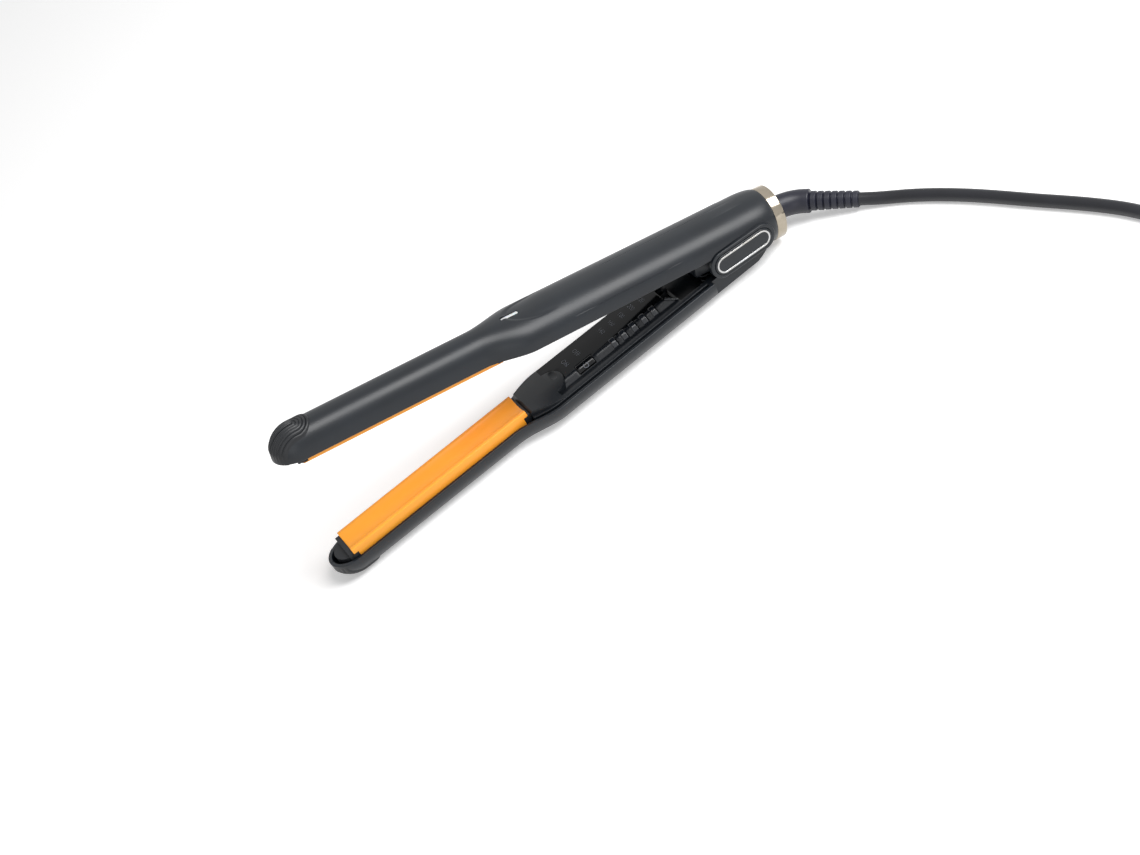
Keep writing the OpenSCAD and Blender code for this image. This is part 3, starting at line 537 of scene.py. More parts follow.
def noseAndNeck(s, t):
    # [x, half width, depth] at t inside the skin: the nose is a quarter ellipse, then come the barrel, the
    # neck and the handle up to the cavity's end
    k = stations
    a = np.radians(np.linspace(k["noseFrom"], 90, k["nose"]))
    nose = np.stack([t + (arm["noseL"] - t) * (1 - np.cos(a)), (arm["halfBarrel"] - t) * np.sin(a),
                     (s["barrelDepth"] - t) * np.sin(a)], -1)
    end = arm["neckX"] + arm["neckL"]
    x = np.concatenate([np.linspace(k["barrelX"], arm["neckX"], k["barrel"]),
                        np.linspace(arm["neckX"] + 1, end + k["neckPast"], k["neck"]),
                        np.linspace(end + k["handlePast"], arm["cavityEnd"], k["handle"])])
    past = np.maximum(x - end, 0) / (arm["cavityEnd"] - end)
    depth = neck(s["barrelDepth"], s["handleDepth"], x) + (s["rearDepth"] - s["handleDepth"]) * past
    return np.concatenate([nose, np.stack([x, armHalf(x) - t, depth - t], -1)])


def capsuleOutline(length, height, steps=24):
    # round-ended bar about the hinge's middle, turned to the slant of its sides
    s = (length - height) / 2
    a = np.linspace(-math.pi / 2, math.pi / 2, steps)
    right = np.stack([s + height / 2 * np.cos(a), height / 2 * np.sin(a)], -1)
    both = np.concatenate([right, -right])
    k = math.radians(hinge["tilt"])
    return np.stack([hinge["midX"] + both[:, 0] * math.cos(k) - both[:, 1] * math.sin(k),
                     hinge["midZ"] + both[:, 0] * math.sin(k) + both[:, 1] * math.cos(k)], -1)


def hingeRoom(r, level, way, half, place):
    # the space round the pins: an arc from that level to right over them (way 1) or under them (way -1),
    # closed by straight lines ahead of it, where it meets the cavity
    a = np.linspace(math.asin((level - arm["pivotZ"]) / r), way * math.pi / 2, 60)
    arc = np.stack([arm["pivotX"] + r * np.cos(a), arm["pivotZ"] + r * np.sin(a)], -1)
    front = arm["cavityEnd"] - 1
    return prism("room", np.concatenate([arc, [[front, arm["pivotZ"] + way * r], [front, level]]]),
                 -half, half, place)


lowerBody = dict(barrelDepth=12, handleDepth=13.3, rearDepth=13.3, rimRound=0.5, edgeRound=0.3, power=2.1,
                 rearX=235, endAngle=74, leastDepth=0.9, bowlX=230, bowlTop=40, bowlRear=300)


def makeLowerShell(s):
    # the rear end's depth follows a circle about the pins, so that it turns inside the upper arm
    outer, inner = noseAndNeck(s, 0), noseAndNeck(s, arm["wall"])
    start = math.acos((arm["pivotZ"] + s["handleDepth"]) / hinge["endR"])
    a = np.linspace(start, math.radians(s["endAngle"]), 26)
    x = np.concatenate([[arm["cavityEnd"] + arm["seam"], s["rearX"]],
                        arm["pivotX"] + hinge["endR"] * np.sin(a)])
    depth = np.concatenate([[s["handleDepth"]] * 2, hinge["endR"] * np.cos(a) - arm["pivotZ"]])
    depth = np.maximum(depth, s["leastDepth"])
    rear = np.stack([x, armHalf(x), depth], -1)
    deck = rear * [1, 1, 0] - [0, arm["wall"], 0]
    rimRound = np.minimum(s["rimRound"], np.concatenate([outer[:, 2], depth]) / 2)
    edgeRound = np.concatenate([np.minimum(s["edgeRound"], inner[:, 2] / 2), np.zeros(len(rear))])
    loops = housingLoops(np.concatenate([outer, rear]), np.concatenate([inner, deck]), rimRound, edgeRound,
                         s["power"])
    loops[..., 2] = np.maximum(loops[..., 2], arm["floorZ"])  # the flat that it rests on
    shell = makeSurface("lowerShell", lowerPlace(loops), satinAbs)

    # the room behind the cavity keeps inside a bowl of the handle's own section, so that the wall stays whole
    room = hingeRoom(hinge["endR"] - arm["wall"], arm["wall"] - s["handleDepth"], 1, hinge["earIn"],
                     lowerPlace)
    a = np.linspace(math.pi, 2 * math.pi, 60)
    bowl = np.stack([soft(np.cos(a), s["power"]) * (armHalf(s["bowlX"]) - arm["wall"]),
                     soft(np.sin(a), s["power"]) * (s["handleDepth"] - arm["wall"])], -1)
    bowl = np.concatenate([bowl, bowl[[-1, 0]] + [0, s["bowlTop"]]])
    carve(room, [prism("bowl", bowl, arm["cavityEnd"] - 2, s["bowlRear"], lowerPlace, "x")], "INTERSECT")
    front = hinge["midX"] - hinge["cheekL"] / 2 - hinge["cheekGap"]
    pocket = boxOutline(front, hinge["pocketRear"], hinge["pocketLow"], hinge["pocketTop"])
    ear = circleOutline(arm["pivotX"], arm["pivotZ"], hinge["earR"])
    pockets, ears = [], []
    for side in (-1, 1):
        pockets.append(prism("pocket", pocket, side * hinge["earOut"], side * hinge["pocketOut"], lowerPlace))
        ears.append(prism("ear", ear, side * hinge["earIn"], side * hinge["earOut"], lowerPlace))
    carve(shell, [room] + pockets)
    for solid in ears:
        bevelled(solid, hinge["earRound"])
    shell = joinMeshes("lower_housing", [finishMesh(shell)] + ears)
    return finished(shell, "lower_arm", "housing", "lower_shell")


def pressIn(loops, mm, weight):
    # moves the points of a housing by mm towards the middle of the section, times their weight
    middle = np.stack([loops[..., 0], 0 * loops[..., 1], 0 * loops[..., 2]], -1)
    way = middle - loops
    way /= np.maximum(np.linalg.norm(way, axis=-1, keepdims=True), 1e-6)
    return loops + way * (mm * weight)[..., None]


upperBody = dict(barrelDepth=13.5, handleDepth=13.9, rearDepth=13.45, rimRound=0.6, edgeRound=0.3, power=2.3,
                 steps=84, deckX=233, blockStart=246, blockRound=254, blockR=13.4, blockRise=1.3)
# Fine lines pressed into the upper arm, each with its place in degrees round the section, start and end
creases = dict(deep=0.16, half=0.6, fade=12, extra=(-0.8, -0.4, 0, 0.4, 0.8),
               lines=((24.5, 150, 214), (98.7, 172, 238)))
thumbRest = dict(deep=0.6, half=9.5, frontX=123, roundX=142, roundL=18, edge=1.5, fadeX=135, fadeL=15,
                 under=-9)
lens = dict(x=126.4, l=8.8, w=1.8, top=13.25, thick=1.4, edge=0.25, play=0.25, slotLow=12.5, slotTop=15)


def makeUpperShell(s):
    outer, inner = noseAndNeck(s, 0), noseAndNeck(s, arm["wall"])
    deckX = np.array([arm["cavityEnd"] + arm["seam"], s["deckX"], s["blockStart"] - arm["seam"]])
    deck = np.stack([deckX, armHalf(deckX), np.full(3, s["rearDepth"])], -1)
    # behind the deck a solid block goes from the handle's section to the ring's circle, as m goes from 0 to 1
    t = np.sin(np.radians(np.linspace(0, 90, 22)))
    m = np.concatenate([[0], 1 - np.sqrt(1 - t ** 2)])
    low = arm["rimGap"] - arm["ringZ"]
    x = np.concatenate([[s["blockStart"]], s["blockRound"] + (arm["ringFront"] - s["blockRound"]) * t])
    block = np.stack([x, armHalf(x) + (s["blockR"] - armHalf(x)) * m,
                      s["rearDepth"] + (s["blockR"] - low - s["rearDepth"]) * m], -1)
    bulge = np.stack([x, block[:, 1], -(s["blockR"] - s["blockRise"] + (s["blockRise"] + low) * m)], -1)
    bulge[0, 2] = -(s["blockR"] - 2 * s["blockRise"])
    none = np.zeros(len(block))
    rimRound = np.concatenate([np.minimum(s["rimRound"], outer[:, 2] / 2), [s["rimRound"]] * 3, none])
    edgeRound = np.concatenate([np.minimum(s["edgeRound"], inner[:, 2] / 2), [0] * 3, none])
    power = np.concatenate([np.full(len(outer) + 3, s["power"]), s["power"] + (2 - s["power"]) * m])
    fine = [line[0] + d for line in creases["lines"] for d in creases["extra"]]
    loops = housingLoops(np.concatenate([outer, deck, block]),
                         np.concatenate([inner, deck * [1, 1, 0] - [0, arm["wall"], 0], bulge]),
                         rimRound, edgeRound, power, steps=s["steps"], extra=fine)
    px, py, pz = loops[..., 0], loops[..., 1], loops[..., 2]
    a = skinAngles(s["steps"], fine)
    skin = np.arange(loops.shape[1]) < len(a)
    for degrees, x0, x1 in creases["lines"]:
        near = np.zeros(loops.shape[1])
        near[:len(a)] = np.clip(1 - np.abs(np.degrees(a) - degrees) / creases["half"], 0, 1)
        run = smooth((px - x0) / creases["fade"]) * smooth((x1 - px) / creases["fade"])
        loops = pressIn(loops, creases["deep"] * run, near[None, :])
    # thumb rest: a shallow U-shaped flat round the lens, fading out towards the handle
    rest = thumbRest
    ahead = np.clip(rest["roundX"] - px, 0, rest["roundL"]) / rest["roundL"]
    half = rest["half"] * np.sqrt(np.clip(1 - ahead ** 2, 0, 1))
    inside = smooth((half - np.abs(py)) / rest["edge"] + 0.5) * (px > rest["frontX"])
    fade = 1 - smooth((px - rest["fadeX"]) / rest["fadeL"])
    loops = pressIn(loops, rest["deep"] * fade, inside * skin[None, :] * (pz < rest["under"]))
    shell = makeSurface("upperShell", upperFlip(loops), satinAbs)

    carve(shell, [hingeRoom(hinge["endR"] + hinge["play"], hinge["roomTop"], -1, hinge["cheekIn"],
                            upperPlace)])
    halfL, halfW = lens["l"] / 2 + lens["play"], lens["w"] / 2 + lens["play"]
    carve(shell, [prism("slot", boxOutline(lens["x"] - halfL, lens["x"] + halfL, -halfW, halfW),
                        arm["rimGap"] + lens["slotLow"], arm["rimGap"] + lens["slotTop"], upperPlace, "z")])
    groove = capsuleOutline(hinge["cheekL"] + hinge["grooveWide"], hinge["cheekH"] + hinge["grooveWide"])
    carve(shell, [prism("groove", groove, side * hinge["grooveIn"], side * arm["beyond"], upperPlace)
                  for side in (-1, 1)])
    parts = [finishMesh(shell)]
    for side in (-1, 1):
        cheek = prism("cheek", capsuleOutline(hinge["cheekL"], hinge["cheekH"]), side * hinge["cheekIn"],
                      side * hinge["cheekOut"], upperPlace)
        seat = prism("seat", capsuleOutline(hinge["seatL"], hinge["seatH"]),
                     side * (hinge["cheekOut"] - hinge["seatDeep"]), side * arm["beyond"], upperPlace)
        parts.append(bevelled(carve(cheek, [seat]), hinge["cheekRound"]))
    knuckle = boxOutline(hinge["knuckleFront"], hinge["knuckleRear"], hinge["knuckleLow"],
                         hinge["knuckleTop"])
    barrel = circleOutline(arm["pivotX"], arm["pivotZ"], hinge["barrelR"])
    for outline, edge in ((knuckle, hinge["knuckleRound"]), (barrel, hinge["barrelRound"])):
        solid = prism("knuckle", outline, -hinge["knuckleHalf"], hinge["knuckleHalf"], upperPlace)
        parts.append(bevelled(solid, edge))
    return finished(joinMeshes("upper_housing", parts), "upper_arm", "housing", "upper_shell")


makeLowerShell(lowerBody)
makeUpperShell(upperBody)
print("housings made")


def makeLens(s):
    # a bar with a rounded top edge, a little under the housing's skin in its slot
    bar = prism("lens_bar", boxOutline(s["x"] - s["l"] / 2, s["x"] + s["l"] / 2, -s["w"] / 2, s["w"] / 2),
                arm["rimGap"] + s["top"] - s["thick"], arm["rimGap"] + s["top"], upperPlace, "z")
    finished(bevelled(dress(bar, milkyLens), s["edge"]), "upper_arm", "lens", "indicator_lens")


makeLens(lens)

tipGrip = dict(half=8.2, turnX=13.8, ribs=5, base=0.15, rise=0.65, under=-0.3, rows=90, legs=14, bends=40,
               innermost=0.04, frontGap=0.05, blunt=0.6, edgeShare=0.04, sharp=60)


def makeTipGrip(name, shell, place, body, node, s):
    # Nested U-shaped ribs on the nose: rows at a constant distance from the middle line, down one leg, round
    # the turn and back. The height over the nose is the base plus the rise times |sin|^blunt across each rib
    nose, half, depth, n = arm["noseL"], arm["halfBarrel"], shell["barrelDepth"], shell["power"]
    r = s["half"] * np.linspace(s["innermost"], 1, s["rows"])[:, None]
    start = nose * (1 - np.sqrt(1 - (r / half) ** 2)) + s["frontGap"]
    leg = np.linspace(0, 1, s["legs"], endpoint=False)[None, :]
    bend = np.radians(np.linspace(0, 180, s["bends"]))[None, :]
    legX = start + (s["turnX"] - start) * leg
    x = np.concatenate([legX, s["turnX"] + r * np.sin(bend), legX[:, ::-1]], 1)
    y = np.concatenate([-r + 0 * leg, -r * np.cos(bend), r + 0 * leg], 1)

    def surface(h):
        w = (half + h) * np.sqrt(np.clip(1 - (np.maximum(nose - x, 0) / (nose + h)) ** 2, 1e-9, 1))
        z = -(depth + h) * w / (half + h) * np.clip(1 - np.minimum(1, np.abs(y) / w) ** n, 0, 1) ** (1 / n)
        return np.stack([x, y, z], -1)

    across = (r - r[0]) / (s["half"] - r[0])
    wave = np.abs(np.sin(math.pi * s["ribs"] * across)) ** s["blunt"]
    edge = smooth((1 - across) / s["edgeShare"])
    top = surface((s["base"] + s["rise"] * wave) * edge)
    under = surface(np.full_like(r, s["under"]))
    rows, cols = top.shape[:2]
    grid = np.concatenate([top, under[::-1]])
    faces = list(gridFaces(2 * rows, cols, closeRows=True))
    i = np.arange(rows - 1)
    k = 2 * rows - 1 - i
    for j in (0, cols - 1):  # the two ends of the rows, from the outside to the underside
        faces += list(np.stack([i * cols + j, (i + 1) * cols + j, (k - 1) * cols + j, k * cols + j], -1))
    obj = makeObject(name, place(grid), faces, grippyAbs, sharpAngle=s["sharp"])
    return finished(obj, body, "grip", node)


makeTipGrip("lower_ribbed_tip", lowerBody, lowerPlace, "lower_arm", "lower_tip_grip", tipGrip)
makeTipGrip("upper_ribbed_tip", upperBody, upperFlip, "upper_arm", "upper_tip_grip", tipGrip)

plates = dict(half=8.5, base=-1.5, lowerTop=5.3, upperTop=2.7, grooveHalf=6.8, grooveDeep=2.4, gap=0.4,
              wall=1.7, notchL=2.4, notchT=0.9, notchTop=2.2, edge=0.3, edgeFrom=30)


def makePlates(s):
    # The groove is an arc through its two edges and its bottom; the crown follows it, the gap away
    r = (s["grooveHalf"] ** 2 + s["grooveDeep"] ** 2) / (2 * s["grooveDeep"])
    middle = s["lowerTop"] - s["grooveDeep"] + r
    channel = s["lowerTop"] - s["grooveDeep"] - s["wall"]
    inner = s["half"] - s["wall"]
    foot = np.array([[inner, s["base"]], [inner, channel], [-inner, channel], [-inner, s["base"]]])
    a = np.linspace(-math.asin(s["grooveHalf"] / r), math.asin(s["grooveHalf"] / r), 40)
    groove = np.stack([r * np.sin(a), middle - r * np.cos(a)], -1)
    crownR = r - s["gap"]
    b = math.acos((middle - arm["rimGap"] + s["upperTop"]) / crownR)
    a = np.linspace(-b, b, 40)
    crown = np.stack([crownR * np.sin(a), arm["rimGap"] - (middle - crownR * np.cos(a))], -1)
    ends = ((arm["plateX"] - 1, arm["plateX"] + s["notchL"]),
            (arm["plateEnd"] - s["notchL"], arm["plateEnd"] + 1))
    sides = ((s["half"] - s["notchT"], s["half"] + 1), (-s["half"] - 1, s["notchT"] - s["half"]))
    for name, face, top, place, body, node in (
            ("grooved_plate", groove, s["lowerTop"], lowerPlace, "lower_arm", "lower_plate"),
            ("crowned_plate", crown, s["upperTop"], upperFlip, "upper_arm", "upper_plate")):
        outline = np.concatenate([[[-s["half"], s["base"]], [-s["half"], top]], face,
                                  [[s["half"], top], [s["half"], s["base"]]], foot])
        plate = dress(prism(name, outline, arm["plateX"], arm["plateEnd"], place, "x"), coatedAluminium)
        cutters = [prism("notch", boxOutline(*x, *y), s["base"] - 1, s["notchTop"], place, "z")
                   for x in ends for y in sides]
        bevelled(carve(plate, cutters), s["edge"], angle=s["edgeFrom"])
        finished(plate, body, "plate", node)


makePlates(plates)
print("plates made")


def turned(name, profile, steps, place, material, sharpAngle=32):
    # profile (n, 2) of radius and distance, spun about the arm's axis at the ring's height
    p = np.asarray(profile, float)
    a = np.linspace(0, 2 * math.pi, steps, endpoint=False)[:, None]
    along = np.broadcast_to(p[:, 1], (steps, len(p)))
    grid = np.stack([along, p[:, 0] * np.cos(a), arm["ringZ"] + p[:, 0] * np.sin(a)], -1)
    return makeSurface(name, place(grid), material, closeRows=True, closeCols=True, sharpAngle=sharpAngle)


def roundedSection(r0, r1, x0, x1, e, steps=6):
    # rectangle r0..r1 by x0..x1 with quarter circles of radius e at its corners
    b = np.linspace(0, math.pi / 2, steps)
    corners = []
    for cr, cx, turn in ((r1 - e, x1 - e, 0), (r0 + e, x1 - e, 1), (r0 + e, x0 + e, 2), (r1 - e, x0 + e, 3)):
        t = b + turn * math.pi / 2
        corners.append(np.stack([cr + e * np.cos(t), cx + e * np.sin(t)], -1))
    return np.concatenate(corners)


# disc: the end disc's rear face as points of radius and distance past discRear
ringSetup = dict(outer=13.6, inner=12.5, edge=0.35, steps=160, discFront=1.4, discRear=0.6, discSteps=120,
                 disc=((5.95, -0.4), (6.3, 0), (7.4, 0.1), (11.2, 0.1), (11.9, -0.3), (12.48, -1)))
bootSetup = dict(stub=3, bend=45, bendRadius=18, core=5.65, collar=5.9, collarRear=2.9, collarFront=0.6,
                 collarEase=0.5, hose=4.2, ribStart=3.2, ribs=7, pitch=3.4, ribRadius=4.8, ribDeep=0.8,
                 ribRise=0.2, ribFall=0.18, taper=0.12, mouth=3.5, mouthL=0.3, sides=48, sharp=55)


def makeRing(s):
    front, rear = arm["ringFront"], arm["ringFront"] + arm["ringL"]
    section = roundedSection(s["inner"], s["outer"], front, rear, s["edge"])
    ring = turned("end_band", section, s["steps"], upperPlace, warmChrome)
    finished(ring, "upper_arm", "ring", "end_ring")
    x0, x1 = front + s["discFront"], rear - s["discRear"]
    face = np.array([[r, x1 + d] for r, d in s["disc"]])
    disc = np.concatenate([[[face[0, 0], x0]], face, [[face[-1, 0], x0]]])
    finished(turned("end_disc", disc, s["discSteps"], upperPlace, blackPps), "upper_arm", "tray", "end_cap")


def makeBoot(s):
    # Centreline: a stub along the arm, a bend towards the near side, then straight. The radius follows the
    # collar, the bend's plain hose and a row of ribs, each a rounded bump that tapers a little to the next
    k = math.radians(s["bend"])
    length = [s["stub"] + arm["ringL"], k * s["bendRadius"], s["ribStart"] + s["ribs"] * s["pitch"]]
    bent = length[0] + length[1]
    d = np.concatenate([np.linspace(0, bent, 40), bent + np.linspace(0.15, length[2], 190)])
    along = d - length[0]
    b = np.clip(along / s["bendRadius"], 0, k)
    past = np.maximum(along - length[1], 0)
    x = arm["ringFront"] + np.minimum(d, length[0]) + s["bendRadius"] * np.sin(b) + past * math.cos(k)
    y = -s["bendRadius"] * (1 - np.cos(b)) - past * math.sin(k)
    line = np.stack([x, y, np.full_like(x, arm["ringZ"])], -1)
    u = past - s["ribStart"]
    count = np.clip(np.floor(u / s["pitch"]), 0, s["ribs"] - 1)
    local = np.clip(u / s["pitch"] - count, 0, 1)
    bump = smooth(local / s["ribRise"]) * smooth((1 - local) / s["ribFall"])
    rib = s["ribRadius"] - s["taper"] * count - s["ribDeep"] * (1 - bump)
    onCollar = (smooth((past + s["collarFront"]) / s["collarEase"])
                * smooth((s["collarRear"] - past) / s["collarEase"]))
    plain = np.where(past > s["collarRear"], s["hose"], s["core"] + (s["collar"] - s["core"]) * onCollar)
    r = np.where(u < -0.1, plain, rib)
    r = np.where(past >= length[2] - s["mouthL"], s["mouth"], r)
    grid = upperPlace(tubeAlong(line, r, s["sides"]))
    boot = makeSurface("cord_relief", grid, bootTpe, sharpAngle=s["sharp"])
    finished(boot, "upper_arm", "boot", "cord_boot")


makeRing(ringSetup)
makeBoot(bootSetup)


def ringAlong(outline, profile, y, side, place):
    # A closed flat outline (n, 2) in the XZ plane carries a small closed profile (m, 2) of [outwards, proud]
    o = np.asarray(outline, float)
    step = np.roll(o, -1, 0) - np.roll(o, 1, 0)
    out = np.stack([step[:, 1], -step[:, 0]], -1)
    out /= np.linalg.norm(out, axis=1)[:, None]
    p = np.asarray(profile, float)
    flat = o[:, None] + p[None, :, :1] * out[:, None]
    depth = np.broadcast_to(side * (y + p[:, 1]), flat.shape[:2])
    return place(np.stack([flat[..., 0], depth, flat[..., 1]], -1))


capSetup = dict(length=32.6, height=10.6, seat=15.9, thick=1.4, edge=0.5, flat=(1.2, 2.4, 3.8, 4.9), steps=32,
                trimL=30.8, trimH=8.8, trimW=0.9, trimT=0.2, trimSteps=48, trimSides=14, trimSharp=70)


def makeHingeCaps(s):
    # The face is a stack of shrinking outlines that rise by a quarter ellipse at the edge, then lie flat
    b = np.radians(np.linspace(15, 90, 6))
    shrink = np.concatenate([[0, 0], s["edge"] * (1 - np.cos(b)), s["flat"]])
    lift = np.concatenate([[0, s["thick"] - s["edge"]], s["thick"] - s["edge"] + s["edge"] * np.sin(b),
                           [s["thick"]] * len(s["flat"])])
    a = np.linspace(0, 2 * math.pi, s["trimSides"], endpoint=False)
    profile = np.stack([s["trimW"] / 2 * np.cos(a), s["trimT"] * np.sin(a)], -1)
    trim = capsuleOutline(s["trimL"] - s["trimW"], s["trimH"] - s["trimW"], s["trimSteps"])
    trims = []
    for side, name, node in ((-1, "near_hinge_cap", "hinge_cap_near"), (1, "far_hinge_cap", "hinge_cap_far")):
        rows = []
        for k, h in zip(shrink, lift):
            o = capsuleOutline(s["length"] - 2 * k, s["height"] - 2 * k, s["steps"])
            rows.append(np.stack([o[:, 0], np.full(len(o), side * (s["seat"] + h)), o[:, 1]], -1))
        finished(makeSurface(name, upperPlace(np.array(rows)), satinAbs), "upper_arm", "housing", node)
        grid = ringAlong(trim, profile, s["seat"] + s["thick"], side, upperPlace)
        trims.append(makeSurface("trim", grid, silverTrim, closeRows=True, sharpAngle=s["trimSharp"]))
    finished(joinMeshes("silver_loops", trims), "upper_arm", "trim", "hinge_cap_trims")


makeHingeCaps(capSetup)
print("rear end made")

# Sizes that the cover, the panel and what lies on it share. Lengths along the panel's section start at its
# far edge. rearEnd is what is cut off both for their oblique end, as points of x and y.
controls = dict(front=116.2, end=206.7, inset=3.1, top=3, base=-1.4, flange=0.5, panelFront=132.5,
                panelT=0.8, lap=4, farGap=0.1, tongueR=8, apexY=9, crown=0.01, ridgeY=-2.8, rollR=3, slope=50,
                slopeL=2.85, play=0.15,
                rearEnd=((200.7, 4.5), (200.7, -3.4), (206.9, -7.4), (216, -7.4), (216, 4.5)))


def upright(name, outline, z0=-6, z1=6):
    # an outline seen from above, carried up; by itself it goes right through the cover and the panel
    return prism(name, outline, z0, z1, lowerPlace, "z")


def panelCurve():
    # Section of the panel from its far edge to the near foot, as rows of y, z, slope angle and length: a slow
    # parabola z = top - crown (apex - y)^2 / 2, then an arc, then a straight slope
    s = controls
    y = np.linspace(armHalf(s["panelFront"]) - s["inset"] - s["farGap"], s["ridgeY"], 36)
    lean = s["crown"] * np.maximum(s["apexY"] - y, 0)
    z = s["top"] - lean * np.maximum(s["apexY"] - y, 0) / 2
    a = np.linspace(lean[-1], math.radians(s["slope"]), 14)[1:]
    ay = y[-1] - s["rollR"] * (np.sin(a) - math.sin(lean[-1]))
    az = z[-1] - s["rollR"] * (math.cos(lean[-1]) - np.cos(a))
    run = s["slopeL"] * np.linspace(0, 1, 6)[1:]
    y = np.concatenate([y, ay, ay[-1] - run * np.cos(a[-1])])
    z = np.concatenate([z, az, az[-1] - run * np.sin(a[-1])])
    lean = np.concatenate([lean, a, np.full(len(run), a[-1])])
    length = np.concatenate([[0], np.cumsum(np.hypot(np.diff(y), np.diff(z)))])
    return np.stack([y, z, lean, length])


def onPanel(x, length, lift):
    # a point that far along the panel's section, lifted off it, the section narrowing with the arm
    curve = panelCurve()
    y, z, a = (np.interp(length, curve[3], curve[i]) for i in range(3))
    narrow = armHalf(x) / armHalf(controls["panelFront"])
    return np.stack(np.broadcast_arrays(x, (y - np.sin(a) * lift) * narrow, z + np.cos(a) * lift), -1)


def coverPlan(x0, x1, inset):
    # outline of the cover seen from above, along the neck on both sides
    x = np.concatenate([np.linspace(x0, arm["neckX"] + arm["neckL"], 14), [x1]])
    near = np.stack([x, inset - armHalf(x)], -1)
    return np.concatenate([near, (near * [1, -1])[::-1]])


def tongueOutline(gap):
    # what belongs to the cover: all before the panel's front edge, and a round tongue past it
    r, wide = controls["tongueR"] + gap, arm["beyond"]
    x0, x1 = controls["front"] - 3, controls["panelFront"] + gap
    b = math.asin((r - arm["seam"]) / r)
    a = np.linspace(-b, b, 48)
    arc = np.stack([controls["panelFront"] + r * np.cos(a), r * np.sin(a)], -1)
    return np.concatenate([[[x0, -wide], [x1, -wide]], arc, [[x1, wide], [x0, wide]]])


buttonSetup = dict(x=151.8, l=9.8, start=15.2, height=0.4, footZ=-0.2, clear=0.16, farDeep=0.9, nearDeep=0.3,
                   square=14)


def buttonEnd(s):
    # the key stops on the slope, high enough to clear the switch under it when it is pressed
    curve = panelCurve()
    return np.interp(-s["footZ"], -curve[1], curve[3])


def buttonHole(s):
    play = controls["play"]
    near, far = (onPanel(s["x"], length, 0)[1] for length in (buttonEnd(s), s["start"]))
    half = s["l"] / 2 + play
    return upright("button", boxOutline(s["x"] - half, s["x"] + half, near - play, far + play))


coverFront = dict(stations=30, past=0.6, fallX=117.5, fallL=19, lean=1.7, low=0.2, breakY=-1.5, fallPower=1.6,
                  dishX=136.9, dishY=2.8, dishHalfX=1.7, dishHalfY=3.4, dishHalfZ=0.8, dishLift=0.1,
                  chamfer=0.9, edge=0.3, edgeFrom=30)


def makeCoverFront(s):
    # Flat on the far side, its near edge running out and down into the flange towards the rear: between them
    # the height falls by the distance from the break to a power
    c = controls
    x = np.linspace(c["front"], c["panelFront"] + c["tongueR"] + s["past"], s["stations"])
    run = np.clip((x - s["fallX"]) / s["fallL"], 0, 1)
    half = armHalf(x) - c["inset"]
    nearY = -half + s["lean"] * (1 - run)
    nearZ = c["top"] + (c["flange"] + s["low"] - c["top"]) * smooth(run)
    u = np.linspace(0, 1, 16)[None, :]
    fall = np.stack([x[:, None] + 0 * u, s["breakY"] + (nearY[:, None] - s["breakY"]) * u,
                     c["top"] - (c["top"] - nearZ)[:, None] * u ** s["fallPower"]], -1)

    def edge(y, z):
        return np.stack([x, y, np.full_like(x, z)], -1)[:, None, :]

    low = c["base"] + s["low"]
    loops = np.concatenate([edge(half, low), edge(half, c["top"]), fall, edge(nearY, low)], 1)
    front = makeSurface("front", lowerPlace(loops))
    carve(front, [upright("shape", tongueOutline(0))], "INTERSECT")
    a = np.radians(np.linspace(0, 360, 48, endpoint=False))
    e = np.radians(np.linspace(-89, 89, 24))[:, None]
    dish = np.stack([s["dishX"] + s["dishHalfX"] * np.cos(e) * np.cos(a),
                     s["dishY"] + s["dishHalfY"] * np.cos(e) * np.sin(a),
                     c["top"] + s["dishLift"] + s["dishHalfZ"] * np.sin(e) + 0 * a], -1)
    square = boxOutline(-s["chamfer"], s["chamfer"], -s["chamfer"], s["chamfer"]) * math.sqrt(0.5)
    corner = np.stack([c["front"] + square[:, 0] - square[:, 1], c["top"] + square[:, 0] + square[:, 1]], -1)
    carve(front, [makeSurface("dish", lowerPlace(dish)),
                  prism("edge", corner, -arm["beyond"], arm["beyond"], lowerPlace)])
    return bevelled(front, s["edge"], angle=s["edgeFrom"])


coverSetup = dict(grooveY=-9.9, grooveZ=-0.85, grooveRear=210, railEnd=221, railLow=0.3, railTop=-0.05,
                  underRear=204, underNear=-0.6, underFar=12.2, underLow=0.1, underGap=0.3, foot=-2,
                  footFront=12, footLap=0.02, footInset=2.2, footWall=1.4, edge=0.35)


